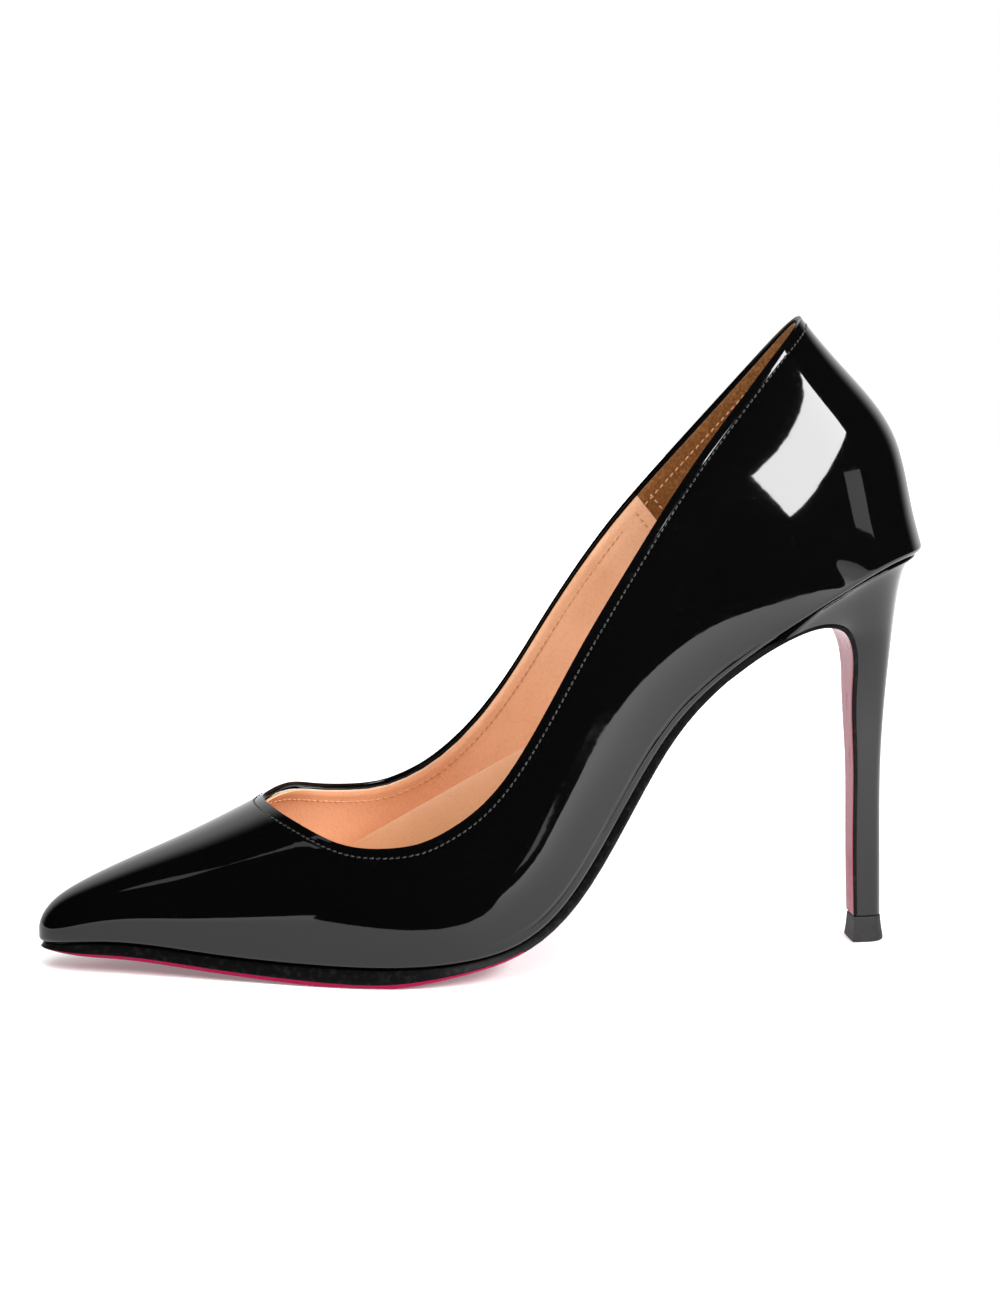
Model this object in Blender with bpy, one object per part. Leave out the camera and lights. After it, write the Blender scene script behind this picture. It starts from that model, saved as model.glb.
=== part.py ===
"""High heel pump: patent upper on a stiletto heel, one node per physical piece.

All driving sizes are in millimetres in the shoe's own frame: x runs from the
toe to the heel, y across the shoe with the inner side of the foot at +y, and
z up from the floor.  Every mesh is written in metres and centred at the end.
"""
import math

import bmesh
import bpy
import numpy as np

MM = 0.001

# ---------------------------------------------------------------- driving sizes
TOE_X = -4.5
HEEL_X = 216.3
THROAT_X = 51.0
LINING_SEAM_X = 172.0
BREAST_X = 165.0
HEEL_BASE_Z = 6.7
TOP_PIECE_HEIGHT = 6.4
UPPER_THICK = 1.0
STIFFENER_START = 1.45
STIFFENER_THICK = 0.6
LINING_THIN_START = 1.85
LINING_DEEP_START = 2.4
LINING_THICK = 0.75
MARGIN_WIDTH = 9.5
LINING_MARGIN_WIDTH = 8.0
LINING_MARGIN_LIFT = 1.3
BED_INSET = 4.3
BOARD_LIFT = 2.4
BOARD_THICK = 1.4
LAYER_LIFT = 4.1
LAYER_THICK = 1.0
SOCK_LIFT = 5.6
SOCK_THICK = 0.7
SOLE_GAP = 0.35
COVER_THICK = 0.5
COVER_GAP = 0.5
PIN_RADIUS = 1.5
PIN_BORE = 0.95
SCREW_X = 201.5
NAILS = [(194, -9), (194, 9), (203, -7.2), (203, 7.2)]

# side view of the edge where the upper turns under: x, z
BED_LINE = [(-4.5, 6.5), (12, 7.9), (35, 6.3), (62, 5.0), (82, 5.1), (98, 6.6), (111, 10.4),
            (122, 19), (134, 36), (147, 56.5), (162, 72), (179, 84.3), (197, 95.3), (208, 99.3),
            (216.3, 99.8)]

# cross sections: x, tilt in degrees, half width at the bed, bulge half width,
# bulge height, crown half width, crown height, centre line offset
SECTIONS = [(-4.5, 0, 0, 0, 2, 0, 3, 3.5), (0, 0, 6.4, 7.6, 5, 5, 10.2, 3.4),
            (12, 0, 11.5, 13.5, 8, 10, 15.8, 3), (32, 0, 18.6, 22, 11, 16, 25.6, 2),
            (52, 0, 26.3, 31, 14, 23, 36.4, 1), (72, 2, 33.4, 38.5, 18, 28, 46, 0.3),
            (92, 10, 36.3, 42, 20, 29, 54, 0), (112, 22, 33, 41, 22, 29, 60, 0),
            (132, 34, 26, 38, 25, 26, 66, 0), (152, 40, 22, 34, 28, 20, 72, 0),
            (172, 38, 22.6, 31, 30, 14, 79, 0), (192, 34, 24.3, 28.5, 33, 11, 84, 0),
            (207, 31, 19, 21, 34, 9, 84, 0), (216.3, 30, 0, 0, 34, 0, 82, 0)]

# how far the back of the quarters bulges behind the straight section line, by height
BACK_BULGE = [(0, 0), (10, 2.6), (28, 7.6), (50, 4.8), (66, 1.8), (85, 0)]

# topline: x, height above the bed on the outer side and on the inner side
TOPLINE = [(58, 33, 37), (66, 30.1, 35.2), (77, 29.3, 33.4), (90, 30.5, 33.2), (105, 33.8, 35.7),
           (119, 35, 36.4), (134, 33.4, 33), (150, 33.6, 33), (165, 39, 38), (180, 46.7, 43.4),
           (195, 54, 49.6), (207, 60.4, 57.4), (216.3, 66, 66)]

# sole: x, thickness
SOLE_THICK = [(-4.5, 1.3), (4, 3.2), (14, 3.9), (40, 4.3), (58, 4.9), (78, 4.95), (90, 3.6),
              (102, 2.7), (114, 2.5), (126, 2.8), (140, 2.7), (152, 2.3), (165, 1.8)]
SOLE_INSET = [(-4.5, 0.3), (20, 0.3), (80, 0.4), (110, 1.2), (135, 2), (165, 2.2)]

# sole from the arch over the breast to the heel tip, on its upper face:
# travel, x, z, thickness, half width
BREAST_LINE = [(0, 165, 73.8, 2.0, 19.6), (10, 174, 79.2, 1.6, 19.2), (18, 181.6, 82.5, 1.5, 18.2),
               (26, 189.3, 83.6, 1.4, 15.6), (32, 194.9, 81.6, 1.3, 12.4),
               (38.5, 198.2, 76.2, 1.25, 9.2), (50.5, 199.1, 64.2, 1.2, 6.2),
               (67.5, 199.8, 47.3, 1.1, 4.9), (87.5, 200, 27.3, 1, 4.3), (108, 200.4, 6.7, 0.9, 4.2)]

# heel: share of the way up, travel along the sole for its front, back x, back z, half width
HEEL_LOFT = [(0, 108, 207.1, 6.7, 4.3), (0.2, 87.5, 206.8, 27.2, 4.3),
             (0.4, 67.5, 206.8, 47.5, 4.9), (0.57, 50.5, 207.8, 64.5, 6.3),
             (0.7, 38.5, 208.7, 76, 9.4), (0.81, 32, 209.5, 85, 13.4), (0.9, 26, 210.7, 92, 18.2),
             (0.96, 18, 212.9, 96.5, 21.9), (1, 9, 216, 99.4, 24.4)]

COLOURS = {
    "patent": ((0.012, 0.012, 0.013), 0.12, 0.0), "tan": ((0.80, 0.47, 0.28), 0.6, 0.0),
    "suede": ((0.27, 0.13, 0.05), 0.95, 0.0), "fibre": ((0.45, 0.33, 0.22), 0.85, 0.0),
    "stiff": ((0.72, 0.66, 0.55), 0.75, 0.0), "steel": ((0.55, 0.56, 0.58), 0.35, 1.0),
    "cork": ((0.42, 0.27, 0.15), 0.9, 0.0), "foam": ((0.85, 0.80, 0.62), 0.95, 0.0),
    "crimson": ((0.45, 0.004, 0.06), 0.35, 0.0), "moulded": ((0.85, 0.82, 0.75), 0.5, 0.0),
    "rubber": ((0.03, 0.03, 0.03), 0.7, 0.0), "tape": ((0.85, 0.85, 0.83), 0.8, 0.0),
}


# ---------------------------------------------------------------- curves
def spline(knots, at):
    """Smooth curve through the rows (x, y, ...) of knots, straight at both ends."""
    k = np.array(knots, float)
    x = k[:, 0]
    y = k[:, 1:]
    n = len(x)
    step = np.diff(x)
    lhs = np.eye(n)
    rhs = np.zeros((n, y.shape[1]))
    for i in range(1, n - 1):
        lhs[i, i - 1:i + 2] = step[i - 1], 2 * (step[i - 1] + step[i]), step[i]
        rhs[i] = 6 * ((y[i + 1] - y[i]) / step[i] - (y[i] - y[i - 1]) / step[i - 1])
    m = np.linalg.solve(lhs, rhs)
    at = np.asarray(at, float)
    i = np.clip(np.searchsorted(x, at) - 1, 0, n - 2)
    d = (at - x[i])[..., None]
    s = step[i][..., None]
    first = (y[i + 1] - y[i]) / s - s * (2 * m[i] + m[i + 1]) / 6
    out = y[i] + d * first + d ** 2 * m[i] / 2 + d ** 3 * (m[i + 1] - m[i]) / (6 * s)
    return out[..., 0] if y.shape[1] == 1 else out


def station_x(t):
    """x of station t in 0..1; stations crowd together at the toe and the heel."""
    return TOE_X + (HEEL_X - TOE_X) * (1 - np.cos(np.pi * np.asarray(t, float))) / 2


def station(x):
    share = (np.asarray(x, float) - TOE_X) / (HEEL_X - TOE_X)
    return np.arccos(np.clip(1 - 2 * share, -1, 1)) / np.pi


def by_station(knots):
    k = np.array(knots, float)
    k[:, 0] = station(k[:, 0])
    return k


SECTION_KNOTS = by_station(SECTIONS)


def section(t):
    return np.moveaxis(spline(SECTION_KNOTS, t), -1, 0)


# ---------------------------------------------------------------- the lasted wall
def wall(t, v, side):
    """Outer face of the upper: station t, v from 0 at the bed to 1 at the crown line."""
    tilt, w0, w1, h1, w2, high, centre = section(t)
    u = 1 - v
    w = u ** 3 * w0 + 3 * u * u * v * w1 + 3 * u * v * v * w2
    h = 3 * u * u * v * h1 + 3 * u * v * v * high + v ** 3 * high
    angle = np.radians(tilt)
    x = station_x(t)
    rear = np.clip((t - 0.62) / 0.38, 0, 1)
    bulge = spline(BACK_BULGE, h) * rear * rear * (3 - 2 * rear)
    px = x - h * np.sin(angle) + bulge * np.cos(angle)
    pz = spline(BED_LINE, x) + h * np.cos(angle) + bulge * np.sin(angle)
    return np.stack([px, centre + side * w, pz], -1)


def wall_in(t, v, side, depth):
    """A point depth millimetres inside the outer face of the upper."""
    t, v = np.broadcast_arrays(np.asarray(t, float), np.asarray(v, float))
    e = 2e-4
    ta, tb = np.clip(t - e, 0, 1), np.clip(t + e, 0, 1)
    va, vb = np.clip(v - e, 0, 1), np.clip(v + e, 0, 1)
    along = wall(tb, v, side) - wall(ta, v, side)
    rise = wall(t, vb, side) - wall(t, va, side)
    normal = np.cross(along, rise) * -side
    middle = (v > 1 - 1e-9) | (t < 1e-9) | (t > 1 - 1e-9)
    normal[..., 1] = np.where(middle, 0.0, normal[..., 1])
    normal[t < 1e-9] = (-1.0, 0.0, 0.0)
    normal /= np.linalg.norm(normal, axis=-1, keepdims=True) + 1e-15
    return wall(t, v, side) - normal * np.asarray(depth, float)[..., None]


def wall_share(t, height):
    """v at which the wall of station t has risen to a height."""
    h1, high = section(t)[[3, 5]]
    low = np.zeros_like(height)
    top = np.ones_like(height)
    for _ in range(40):
        v = (low + top) / 2
        u = 1 - v
        h = 3 * u * u * v * h1 + 3 * u * v * v * high + v ** 3 * high
        low = np.where(h < height, v, low)
        top = np.where(h < height, top, v)
    return (low + top) / 2


def topline(t, side, drop=0.0):
    """v of the topline, or of the line drop millimetres below it; 1 ahead of the throat."""
    column = 1 if side < 0 else 2
    start = THROAT_X - drop
    knots = [(start, float(section(station(start))[5]))]
    for row in TOPLINE:
        lean = max(0.0, 1 - (row[0] - 51) / 30)
        knots.append((row[0] - 0.6 * drop * lean, row[column] - drop * (1 - 0.35 * lean)))
    x = station_x(t)
    height = spline(knots, np.maximum(x, start))
    return np.where(x <= start + 1e-6, 1.0, wall_share(t, height))


def stations(first_x, last_x, count, crowd_front=False, crowd_back=False):
    """Stations from first_x to last_x, crowded at an end that closes on a curve."""
    a = station(first_x)
    b = station(last_x)
    s = np.linspace(0, 1, count + 1)
    if crowd_front and crowd_back:
        s = (1 - np.cos(np.pi * s)) / 2
    elif crowd_front:
        s = s ** 2
    elif crowd_back:
        s = 1 - (1 - s) ** 2
    return a + (b - a) * s


def full_length():
    front = stations(TOE_X, THROAT_X, 12)
    back = stations(THROAT_X, HEEL_X, 32)
    extra = stations(THROAT_X, station_x(back[2]), 5, crowd_front=True)
    return np.concatenate([front, extra[1:], back[3:]])


def rows_between(first_x, last_x):
    """The stations shared by every layer, so that their facets lie parallel."""
    t = full_length()
    x = station_x(t)
    return t[(x > first_x - 1e-6) & (x < last_x + 1e-6)]


# ---------------------------------------------------------------- the bed
def bed(t, side, inset, lift):
    """A point on the bottom of the last, inset from its outline and lifted off it."""
    t, inset, lift = np.broadcast_arrays(np.asarray(t, float), inset, lift)
    x = station_x(t)
    part = section(t)
    edge_y = part[6] + side * part[1]
    toe = np.clip((60 - x) / (60 - TOE_X), 0, 1)
    heel = np.clip((x - 175) / (HEEL_X - 175), 0, 1)
    inner_x = x + 13 * toe ** 2 - 16 * heel ** 2
    inner_y = section(station(inner_x))[6]
    way_x = inner_x - x
    way_y = inner_y - edge_y
    reach = np.hypot(way_x, way_y)
    share = np.minimum(inset / reach, 1.0)
    px = x + way_x * share
    py = edge_y + way_y * share
    e = 0.05
    slope = np.arctan((spline(BED_LINE, px + e) - spline(BED_LINE, px - e)) / (2 * e))
    pz = spline(BED_LINE, px)
    return np.stack([px - lift * np.sin(slope), py, pz + lift * np.cos(slope)], -1)


def heel_lean(t, lift):
    """Extra inset at the heel and the toe, where the wall leans in over the bed."""
    x = station_x(t)
    return (np.clip((x - 194) / 20, 0, 1) * 0.45 + np.clip((6 - x) / 10, 0, 1) * 0.3) * lift


# ---------------------------------------------------------------- meshes
def grid_faces(rows, cols, start):
    r, c = np.meshgrid(np.arange(rows - 1), np.arange(cols - 1), indexing="ij")
    a = (start + r * cols + c).ravel()
    return np.stack([a, a + 1, a + cols + 1, a + cols], -1)


def material(colour):
    mat = bpy.data.materials.get(colour)
    if mat is None:
        mat = bpy.data.materials.new(colour)
        mat.use_nodes = True
        shade = mat.node_tree.nodes["Principled BSDF"]
        rgb, rough, metal = COLOURS[colour]
        shade.inputs["Base Color"].default_value = (*rgb, 1)
        shade.inputs["Roughness"].default_value = rough
        shade.inputs["Metallic"].default_value = metal
    return mat


def add_mesh(name, points, faces, colour):
    """One closed body from points in millimetres; faces are turned to look outward."""
    mesh = bpy.data.meshes.new(name)
    mesh.from_pydata([tuple(p) for p in np.asarray(points) * MM], [], faces)
    bm = bmesh.new()
    bm.from_mesh(mesh)
    bmesh.ops.remove_doubles(bm, verts=bm.verts, dist=1e-6)
    bmesh.ops.recalc_face_normals(bm, faces=bm.faces)
    if bm.calc_volume(signed=True) < 0:
        bmesh.ops.reverse_faces(bm, faces=bm.faces)
    bm.to_mesh(mesh)
    bm.free()
    obj = bpy.data.objects.new(name, mesh)
    obj.data.materials.append(material(colour))
    bpy.context.scene.collection.objects.link(obj)
    return obj


def shell(name, outer, inner, colour):
    """Closed sheet between matching lists of outer and inner point grids."""
    outs = []
    ins = []
    quads = []
    start = 0
    for out_grid, in_grid in zip(outer, inner):
        rows, cols = out_grid.shape[:2]
        outs.append(out_grid.reshape(-1, 3))
        ins.append(in_grid.reshape(-1, 3))
        quads.append(grid_faces(rows, cols, start))
        start += rows * cols
    outs = np.concatenate(outs)
    ins = np.concatenate(ins)
    quads = np.concatenate(quads)
    keys = np.round(np.concatenate([outs, ins], 1) * 200).astype(int)
    _, pick, back = np.unique(keys, axis=0, return_index=True, return_inverse=True)
    back = back.ravel()
    faces = []
    for quad in quads:
        ring = []
        for corner in back[quad]:
            if int(corner) not in ring:
                ring.append(int(corner))
        if len(ring) > 2:
            faces.append(ring)
    edges = {}
    for ring in faces:
        for a, b in zip(ring, ring[1:] + ring[:1]):
            edges[(a, b)] = edges.get((a, b), 0) + 1
            edges[(b, a)] = edges.get((b, a), 0)
    count = len(pick)
    solid = list(faces)
    solid += [[c + count for c in reversed(ring)] for ring in faces]
    seen = set()
    for (a, b) in list(edges):
        total = edges[(a, b)] + edges[(b, a)]
        if total == 1 and (b, a) not in seen:
            seen.add((a, b))
            first, second = (a, b) if edges[(a, b)] else (b, a)
            solid.append([second, first, first + count, second + count])
    points = np.concatenate([outs[pick], ins[pick]])
    return add_mesh(name, points, solid, colour)


def lathe(name, centre, rings, colour, slope=0.0, lean=0.0, sides=16):
    """Round solid from rings (radius, z) about an upright axis; slope shears its faces."""
    turn = np.linspace(0, 2 * np.pi, sides, endpoint=False)
    points = []
    faces = []
    for k, (radius, z) in enumerate(rings):
        x = centre[0] + radius * np.cos(turn) + lean * (z - rings[0][1])
        y = centre[1] + radius * np.sin(turn)
        level = z + slope * radius * np.cos(turn)
        points.append(np.stack([x, y, level], -1))
        if k:
            for i in range(sides):
                j = (i + 1) % sides
                a = (k - 1) * sides
                faces.append([a + i, a + j, a + sides + j, a + sides + i])
    last = (len(rings) - 1) * sides
    faces.append(list(range(sides)))
    faces.append([last + i for i in range(sides)])
    return add_mesh(name, np.concatenate(points), faces, colour)


def cut(target, cutters):
    """Remove each cutter from the target and apply it."""
    for cutter in cutters:
        step = target.modifiers.new("cut", "BOOLEAN")
        step.operation = "DIFFERENCE"
        step.solver = "EXACT"
        step.object = cutter
        graph = bpy.context.evaluated_depsgraph_get()
        mesh = bpy.data.meshes.new_from_object(target.evaluated_get(graph))
        target.modifiers.remove(step)
        old = target.data
        target.data = mesh
        bpy.data.meshes.remove(old)
    for cutter in cutters:
        bpy.data.objects.remove(cutter, do_unlink=True)


# ---------------------------------------------------------------- upper and lining
def make_upper():
    t = full_length()[:, None]
    outer = []
    inner = []
    for side in (-1, 1):
        top = topline(t[:, 0], side)[:, None]
        share = np.linspace(1, 0, 8)[None, :] ** 1.1
        v = top * share
        out = wall(np.broadcast_to(t, v.shape), v, side)
        foot = wall_share(t[:, 0], np.full(len(t), UPPER_THICK + 0.3))[:, None]
        v = foot + (top - foot) * share
        into = wall_in(t, v, side, np.full(v.shape, UPPER_THICK))
        into[:, -1] = bed(t[:, 0], side, 1.1 + heel_lean(t[:, 0], 1.5), UPPER_THICK)
        inset = np.array([[4.5, MARGIN_WIDTH]])
        under = bed(t, side, inset, 0.0)
        above = bed(t, side, inset, UPPER_THICK)
        outer.append(np.concatenate([out, under], 1))
        inner.append(np.concatenate([into, above], 1))
    shell("upper", outer, inner, "patent")


def lining_depth(t, v, side):
    """How far inside the outer face the lining lies: deeper behind the stiffeners."""
    x = station_x(t)
    height = spline(SECTION_KNOTS, t)[..., 5] * v
    rim = topline(t, side)
    below = np.clip((rim - v) / 0.07, 0, 1)
    toe = np.clip((46 - x) / 10, 0, 1)
    heel = np.clip((x - 140) / 8, 0, 1)
    near_rim = np.where(x < THROAT_X - 6, 1.0, below)
    deep = np.maximum(toe, heel) * near_rim
    low = np.clip((14 - height) / 10, 0, 1)
    deep = np.maximum(deep, low * 0.6)
    deep = deep * deep * (3 - 2 * deep)
    return LINING_THIN_START + (LINING_DEEP_START - LINING_THIN_START) * deep


def lining_grids(t):
    outer = []
    inner = []
    for side in (-1, 1):
        top = topline(t, side, 0.5)[:, None]
        top = np.where(topline(t, side, 0.0)[:, None] >= 1, 1.0, top)
        foot = np.minimum(wall_share(t, np.full(t.shape, 3.0)), 0.6)[:, None]
        share = np.linspace(1, 0, 7)[None, :] ** 1.1
        v = foot + (top - foot) * share
        depth = lining_depth(np.broadcast_to(t[:, None], v.shape), v, side)
        out = wall_in(t[:, None], v, side, depth)
        into = wall_in(t[:, None], v, side, depth + LINING_THICK)
        corner_out = bed(t, side, 2.5 + heel_lean(t, 2.5), LINING_MARGIN_LIFT)[:, None]
        corner_in = bed(t, side, 3.3 + heel_lean(t, 2.5), LINING_MARGIN_LIFT + LINING_THICK)[:, None]
        inset = np.array([[LINING_MARGIN_WIDTH]])
        under = bed(t[:, None], side, inset, LINING_MARGIN_LIFT)
        above = bed(t[:, None], side, inset, LINING_MARGIN_LIFT + LINING_THICK)
        outer.append(np.concatenate([out, corner_out, under], 1))
        inner.append(np.concatenate([into, corner_in, above], 1))
    return outer, inner


def make_linings():
    t = rows_between(TOE_X, LINING_SEAM_X)
    shell("lining", *lining_grids(t), "tan")
    rest = rows_between(LINING_SEAM_X, HEEL_X)
    t = np.concatenate([[t[-1] + 0.003], rest])
    shell("heel_grip", *lining_grids(t), "suede")


def make_tape():
    """Thin tape between upper and lining all round the opening."""
    front = stations(THROAT_X - 6, THROAT_X, 5, crowd_front=True)
    t = np.concatenate([front[:-1], rows_between(THROAT_X, HEEL_X)])
    outer = []
    inner = []
    for side in (-1, 1):
        top = topline(t, side, 1.0)[:, None]
        low = topline(t, side, 6.0)[:, None]
        low = np.minimum(low, top)
        v = top + (low - top) * np.linspace(0, 1, 3)[None, :]
        outer.append(wall_in(t[:, None], v, side, np.full(v.shape, 1.36)))
        inner.append(wall_in(t[:, None], v, side, np.full(v.shape, 1.6)))
    shell("topline_tape", outer, inner, "tape")


def make_stiffeners():
    t = rows_between(TOE_X, 34)
    outer = []
    inner = []
    for side in (-1, 1):
        foot = wall_share(t, np.full(t.shape, 1.6))[:, None]
        foot = np.minimum(foot, 0.45)
        v = foot + (1 - foot) * np.linspace(0, 1, 7)[None, :]
        start = np.full(v.shape, STIFFENER_START)
        outer.append(wall_in(t[:, None], v, side, start))
        inner.append(wall_in(t[:, None], v, side, start + STIFFENER_THICK))
    shell("toe_puff", outer, inner, "stiff")
    t = rows_between(154, HEEL_X)
    outer = []
    inner = []
    for side in (-1, 1):
        foot = wall_share(t, np.full(t.shape, 2.6))[:, None]
        rise = np.clip((station_x(t) - 154) / 40, 0, 1)[:, None]
        roof = topline(t, side, 11.0)[:, None]
        top = foot + (roof - foot) * (0.45 + 0.55 * np.sqrt(rise))
        v = foot + (top - foot) * np.linspace(0, 1, 6)[None, :]
        start = np.full(v.shape, STIFFENER_START)
        outer.append(wall_in(t[:, None], v, side, start))
        inner.append(wall_in(t[:, None], v, side, start + STIFFENER_THICK))
    shell("heel_counter", outer, inner, "stiff")


# ---------------------------------------------------------------- plates on the bed
def plate(name, first_x, last_x, inset, low, high, colour):
    """Flat piece lying on the bed between two stations, closed to its centre line."""
    t = rows_between(first_x, last_x)
    outer = []
    inner = []
    for side in (-1, 1):
        edge = inset + heel_lean(t, high)[:, None]
        rim = bed(t[:, None], side, edge, low)
        rim_top = bed(t[:, None], side, edge, high)
        mid = bed(t[:, None], side, np.full((1, 1), 1e3), low)
        mid_top = bed(t[:, None], side, np.full((1, 1), 1e3), high)
        share = np.array([0, 0.5, 1])[None, :, None]
        outer.append(rim + (mid - rim) * share)
        inner.append(rim_top + (mid_top - rim_top) * share)
    return shell(name, outer, inner, colour)


def strip(name, first_x, last_x, count, half, lifts, thick, colour):
    """Narrow strip along the centre of the bed with a rib rolled along its middle."""
    x = np.linspace(first_x, last_x, count + 1)
    end = np.minimum((x - first_x), (last_x - x))
    width = half * np.sqrt(np.clip(1 - (1 - np.clip(end / half, 0.12, 1)) ** 2, 0, 1))
    slope = np.arctan(np.gradient(spline(BED_LINE, x), x))
    across = np.array([-1, -0.35, 0, 0.35, 1])
    grids = []
    for rise in (0, thick):
        lift = np.array(lifts)[None, :] + rise
        px = x[:, None] - lift * np.sin(slope)[:, None]
        pz = spline(BED_LINE, x)[:, None] + lift * np.cos(slope)[:, None]
        py = np.broadcast_to(width[:, None] * across[None, :], px.shape)
        grids.append(np.stack([px, py, pz], -1))
    return shell(name, [grids[0]], [grids[1]], colour)


def make_bottom():
    board = plate("insole_board", TOE_X, HEEL_X, BED_INSET, BOARD_LIFT,
                  BOARD_LIFT + BOARD_THICK, "fibre")
    back = plate("shank_board", 103, HEEL_X, BED_INSET + 0.3, LAYER_LIFT,
                 LAYER_LIFT + LAYER_THICK, "fibre")
    plate("sock_foam", TOE_X, 99, BED_INSET + 0.3, LAYER_LIFT, LAYER_LIFT + LAYER_THICK, "foam")
    plate("sock_lining", TOE_X, HEEL_X, BED_INSET + 0.1, SOCK_LIFT, SOCK_LIFT + SOCK_THICK,
          "tan")
    plate("bottom_filler", TOE_X, 98, 11.2, 0.15, 2.0, "cork")
    strip("shank", 101, 190, 20, 5.0, [0.4, 0.4, 0.75, 0.4, 0.4], 1.2, "steel")
    return board, back


# ---------------------------------------------------------------- sole
def breast(s):
    """Sole line over the breast at travel s: upper face x, z, thickness, half width, normal."""
    k = [(-24, 144.9, 0), (-12, 154.6, 0)]
    k = [(a, b, float(spline(BED_LINE, b)) - 0.35) for a, b, _ in k]
    path = k + [row[:3] for row in BREAST_LINE]
    p = spline(path, s)
    e = 0.05
    way = spline(path, s + e) - spline(path, s - e)
    way /= np.linalg.norm(way, axis=-1, keepdims=True)
    normal = np.stack([-way[..., 1], way[..., 0]], -1)
    rest = spline([(row[0], row[3], row[4]) for row in BREAST_LINE], s)
    return p, rest[..., 0], rest[..., 1], normal


def make_outsole():
    """Sole from the toe to the arch, then down the breast of the heel as a thin flap."""
    t = rows_between(TOE_X, BREAST_X - 3)
    thick = spline(SOLE_THICK, station_x(t))
    rim = spline(SOLE_INSET, station_x(t))
    travel = np.array([3, 8, 13, 18, 22, 25, 28, 31.5, 35, 39, 44, 50, 58, 66, 77, 87.5, 98, 107.9])
    place, flap, half, normal = breast(travel)
    outer = []
    inner = []
    for side in (-1, 1):
        bevel = np.minimum(1.3, 0.35 * thick)
        top = [bed(t, side, rim, -SOLE_GAP), bed(t, side, rim + 1.6, -SOLE_GAP)]
        top += [bed(t, side, 1e3, -SOLE_GAP)]
        top.insert(2, (top[1] + top[2]) / 2)
        low = [bed(t, side, rim, -SOLE_GAP - thick + bevel)]
        low += [bed(t, side, rim + 1.6, -SOLE_GAP - thick)]
        low += [bed(t, side, 1e3, -SOLE_GAP - thick)]
        low.insert(2, (low[1] + low[2]) / 2)
        top = np.stack(top, 1)
        low = np.stack(low, 1)
        low[..., 2] = np.maximum(low[..., 2], 0.0)
        across = np.stack([half, half - 0.8, half * 0.5, half * 0], 1) * side
        depth = np.stack([flap * 0.6, flap, flap, flap], 1)
        upper_x = np.broadcast_to(place[:, None, 0], across.shape)
        upper_z = np.broadcast_to(place[:, None, 1], across.shape)
        lower_x = upper_x - depth * normal[:, None, 0]
        lower_z = upper_z - depth * normal[:, None, 1]
        top = np.concatenate([top, np.stack([upper_x, across, upper_z], -1)])
        low = np.concatenate([low, np.stack([lower_x, across, lower_z], -1)])
        outer.append(low)
        inner.append(top)
    shell("outsole", outer, inner, "crimson")


# ---------------------------------------------------------------- heel
def heel_face(q, turn, side, inset):
    """Side of the heel: q up the heel, turn from 0 at the breast to 1 at the back."""
    q, turn = np.broadcast_arrays(q, turn)
    loft = spline(HEEL_LOFT, q)
    place, _, _, normal = breast(loft[..., 0])
    front = place + normal * 0.25
    back = loft[..., 1:3].copy()
    back[..., 0] -= inset
    half = loft[..., 3] - inset
    a = np.sin(turn * np.pi / 2)
    body = np.cos(turn * np.pi / 2) * np.sqrt(1 + a * a) * (1 - 0.06 * (1 - a) ** 2)
    px = front[..., 0] + (back[..., 0] - front[..., 0]) * a
    pz = front[..., 1] + (back[..., 1] - front[..., 1]) * a
    ends = spline(HEEL_LOFT, 1.0)
    low, _, _, out = breast(ends[0])
    low = low + out * 0.25
    chord = low[1] + (px - low[0]) * (ends[2] - low[1]) / (ends[1] - inset - low[0])
    seat = spline(BED_LINE, px) - 0.35
    rise = np.clip((q - 0.78) / 0.22, 0, 1)
    taper = np.clip(a / 0.3, 0, 1)
    pz = pz + rise * rise * (3 - 2 * rise) * taper * (2 - taper) * (seat - chord)
    return np.stack([px, side * half * body, pz], -1)


HEEL_STEPS = np.array([0, 0.2, 0.4, 0.5, 0.58, 0.65, 0.71, 0.77, 0.82, 0.86, 0.9, 0.93, 0.96,
                       0.98, 1.0])
HEEL_TURN = np.linspace(0, 1, 10)


def make_heel():
    q = HEEL_STEPS[:, None]
    turn = HEEL_TURN[None, :]
    outer = []
    inner = []
    for side in (-1, 1):
        outer.append(heel_face(q, turn, side, 0.0))
        inner.append(heel_face(q, turn, side, COVER_THICK))
    shell("heel_cover", outer, inner, "patent")
    inset = COVER_THICK + COVER_GAP
    near = heel_face(q, turn, -1, inset)
    far = heel_face(q, turn, 1, inset)
    rows, cols = near.shape[:2]
    points = np.concatenate([near.reshape(-1, 3), far.reshape(-1, 3)])
    size = rows * cols
    faces = [list(map(int, f)) for f in grid_faces(rows, cols, 0)]
    faces += [list(map(int, f)) for f in grid_faces(rows, cols, size)]
    for r in range(rows - 1):
        a = r * cols
        faces.append([a, a + cols, a + cols + size, a + size])
    for c in range(cols - 1):
        faces.append([c, c + 1, c + 1 + size, c + size])
        a = (rows - 1) * cols + c
        faces.append([a, a + 1, a + 1 + size, a + size])
    return add_mesh("heel_block", points, clean(points, faces), "moulded")


def clean(points, faces):
    """Drop repeated corners where both halves meet on the centre line."""
    keys = np.round(points * 1000).astype(int)
    _, first, back = np.unique(keys, axis=0, return_index=True, return_inverse=True)
    back = back.ravel()
    out = []
    for face in faces:
        ring = []
        for corner in face:
            keep = int(first[back[corner]])
            if keep not in ring:
                ring.append(keep)
        if len(ring) > 2:
            out.append(ring)
    return out


def pin_x(z):
    return 203.6 - 0.003 * (z - HEEL_BASE_Z)


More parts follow.
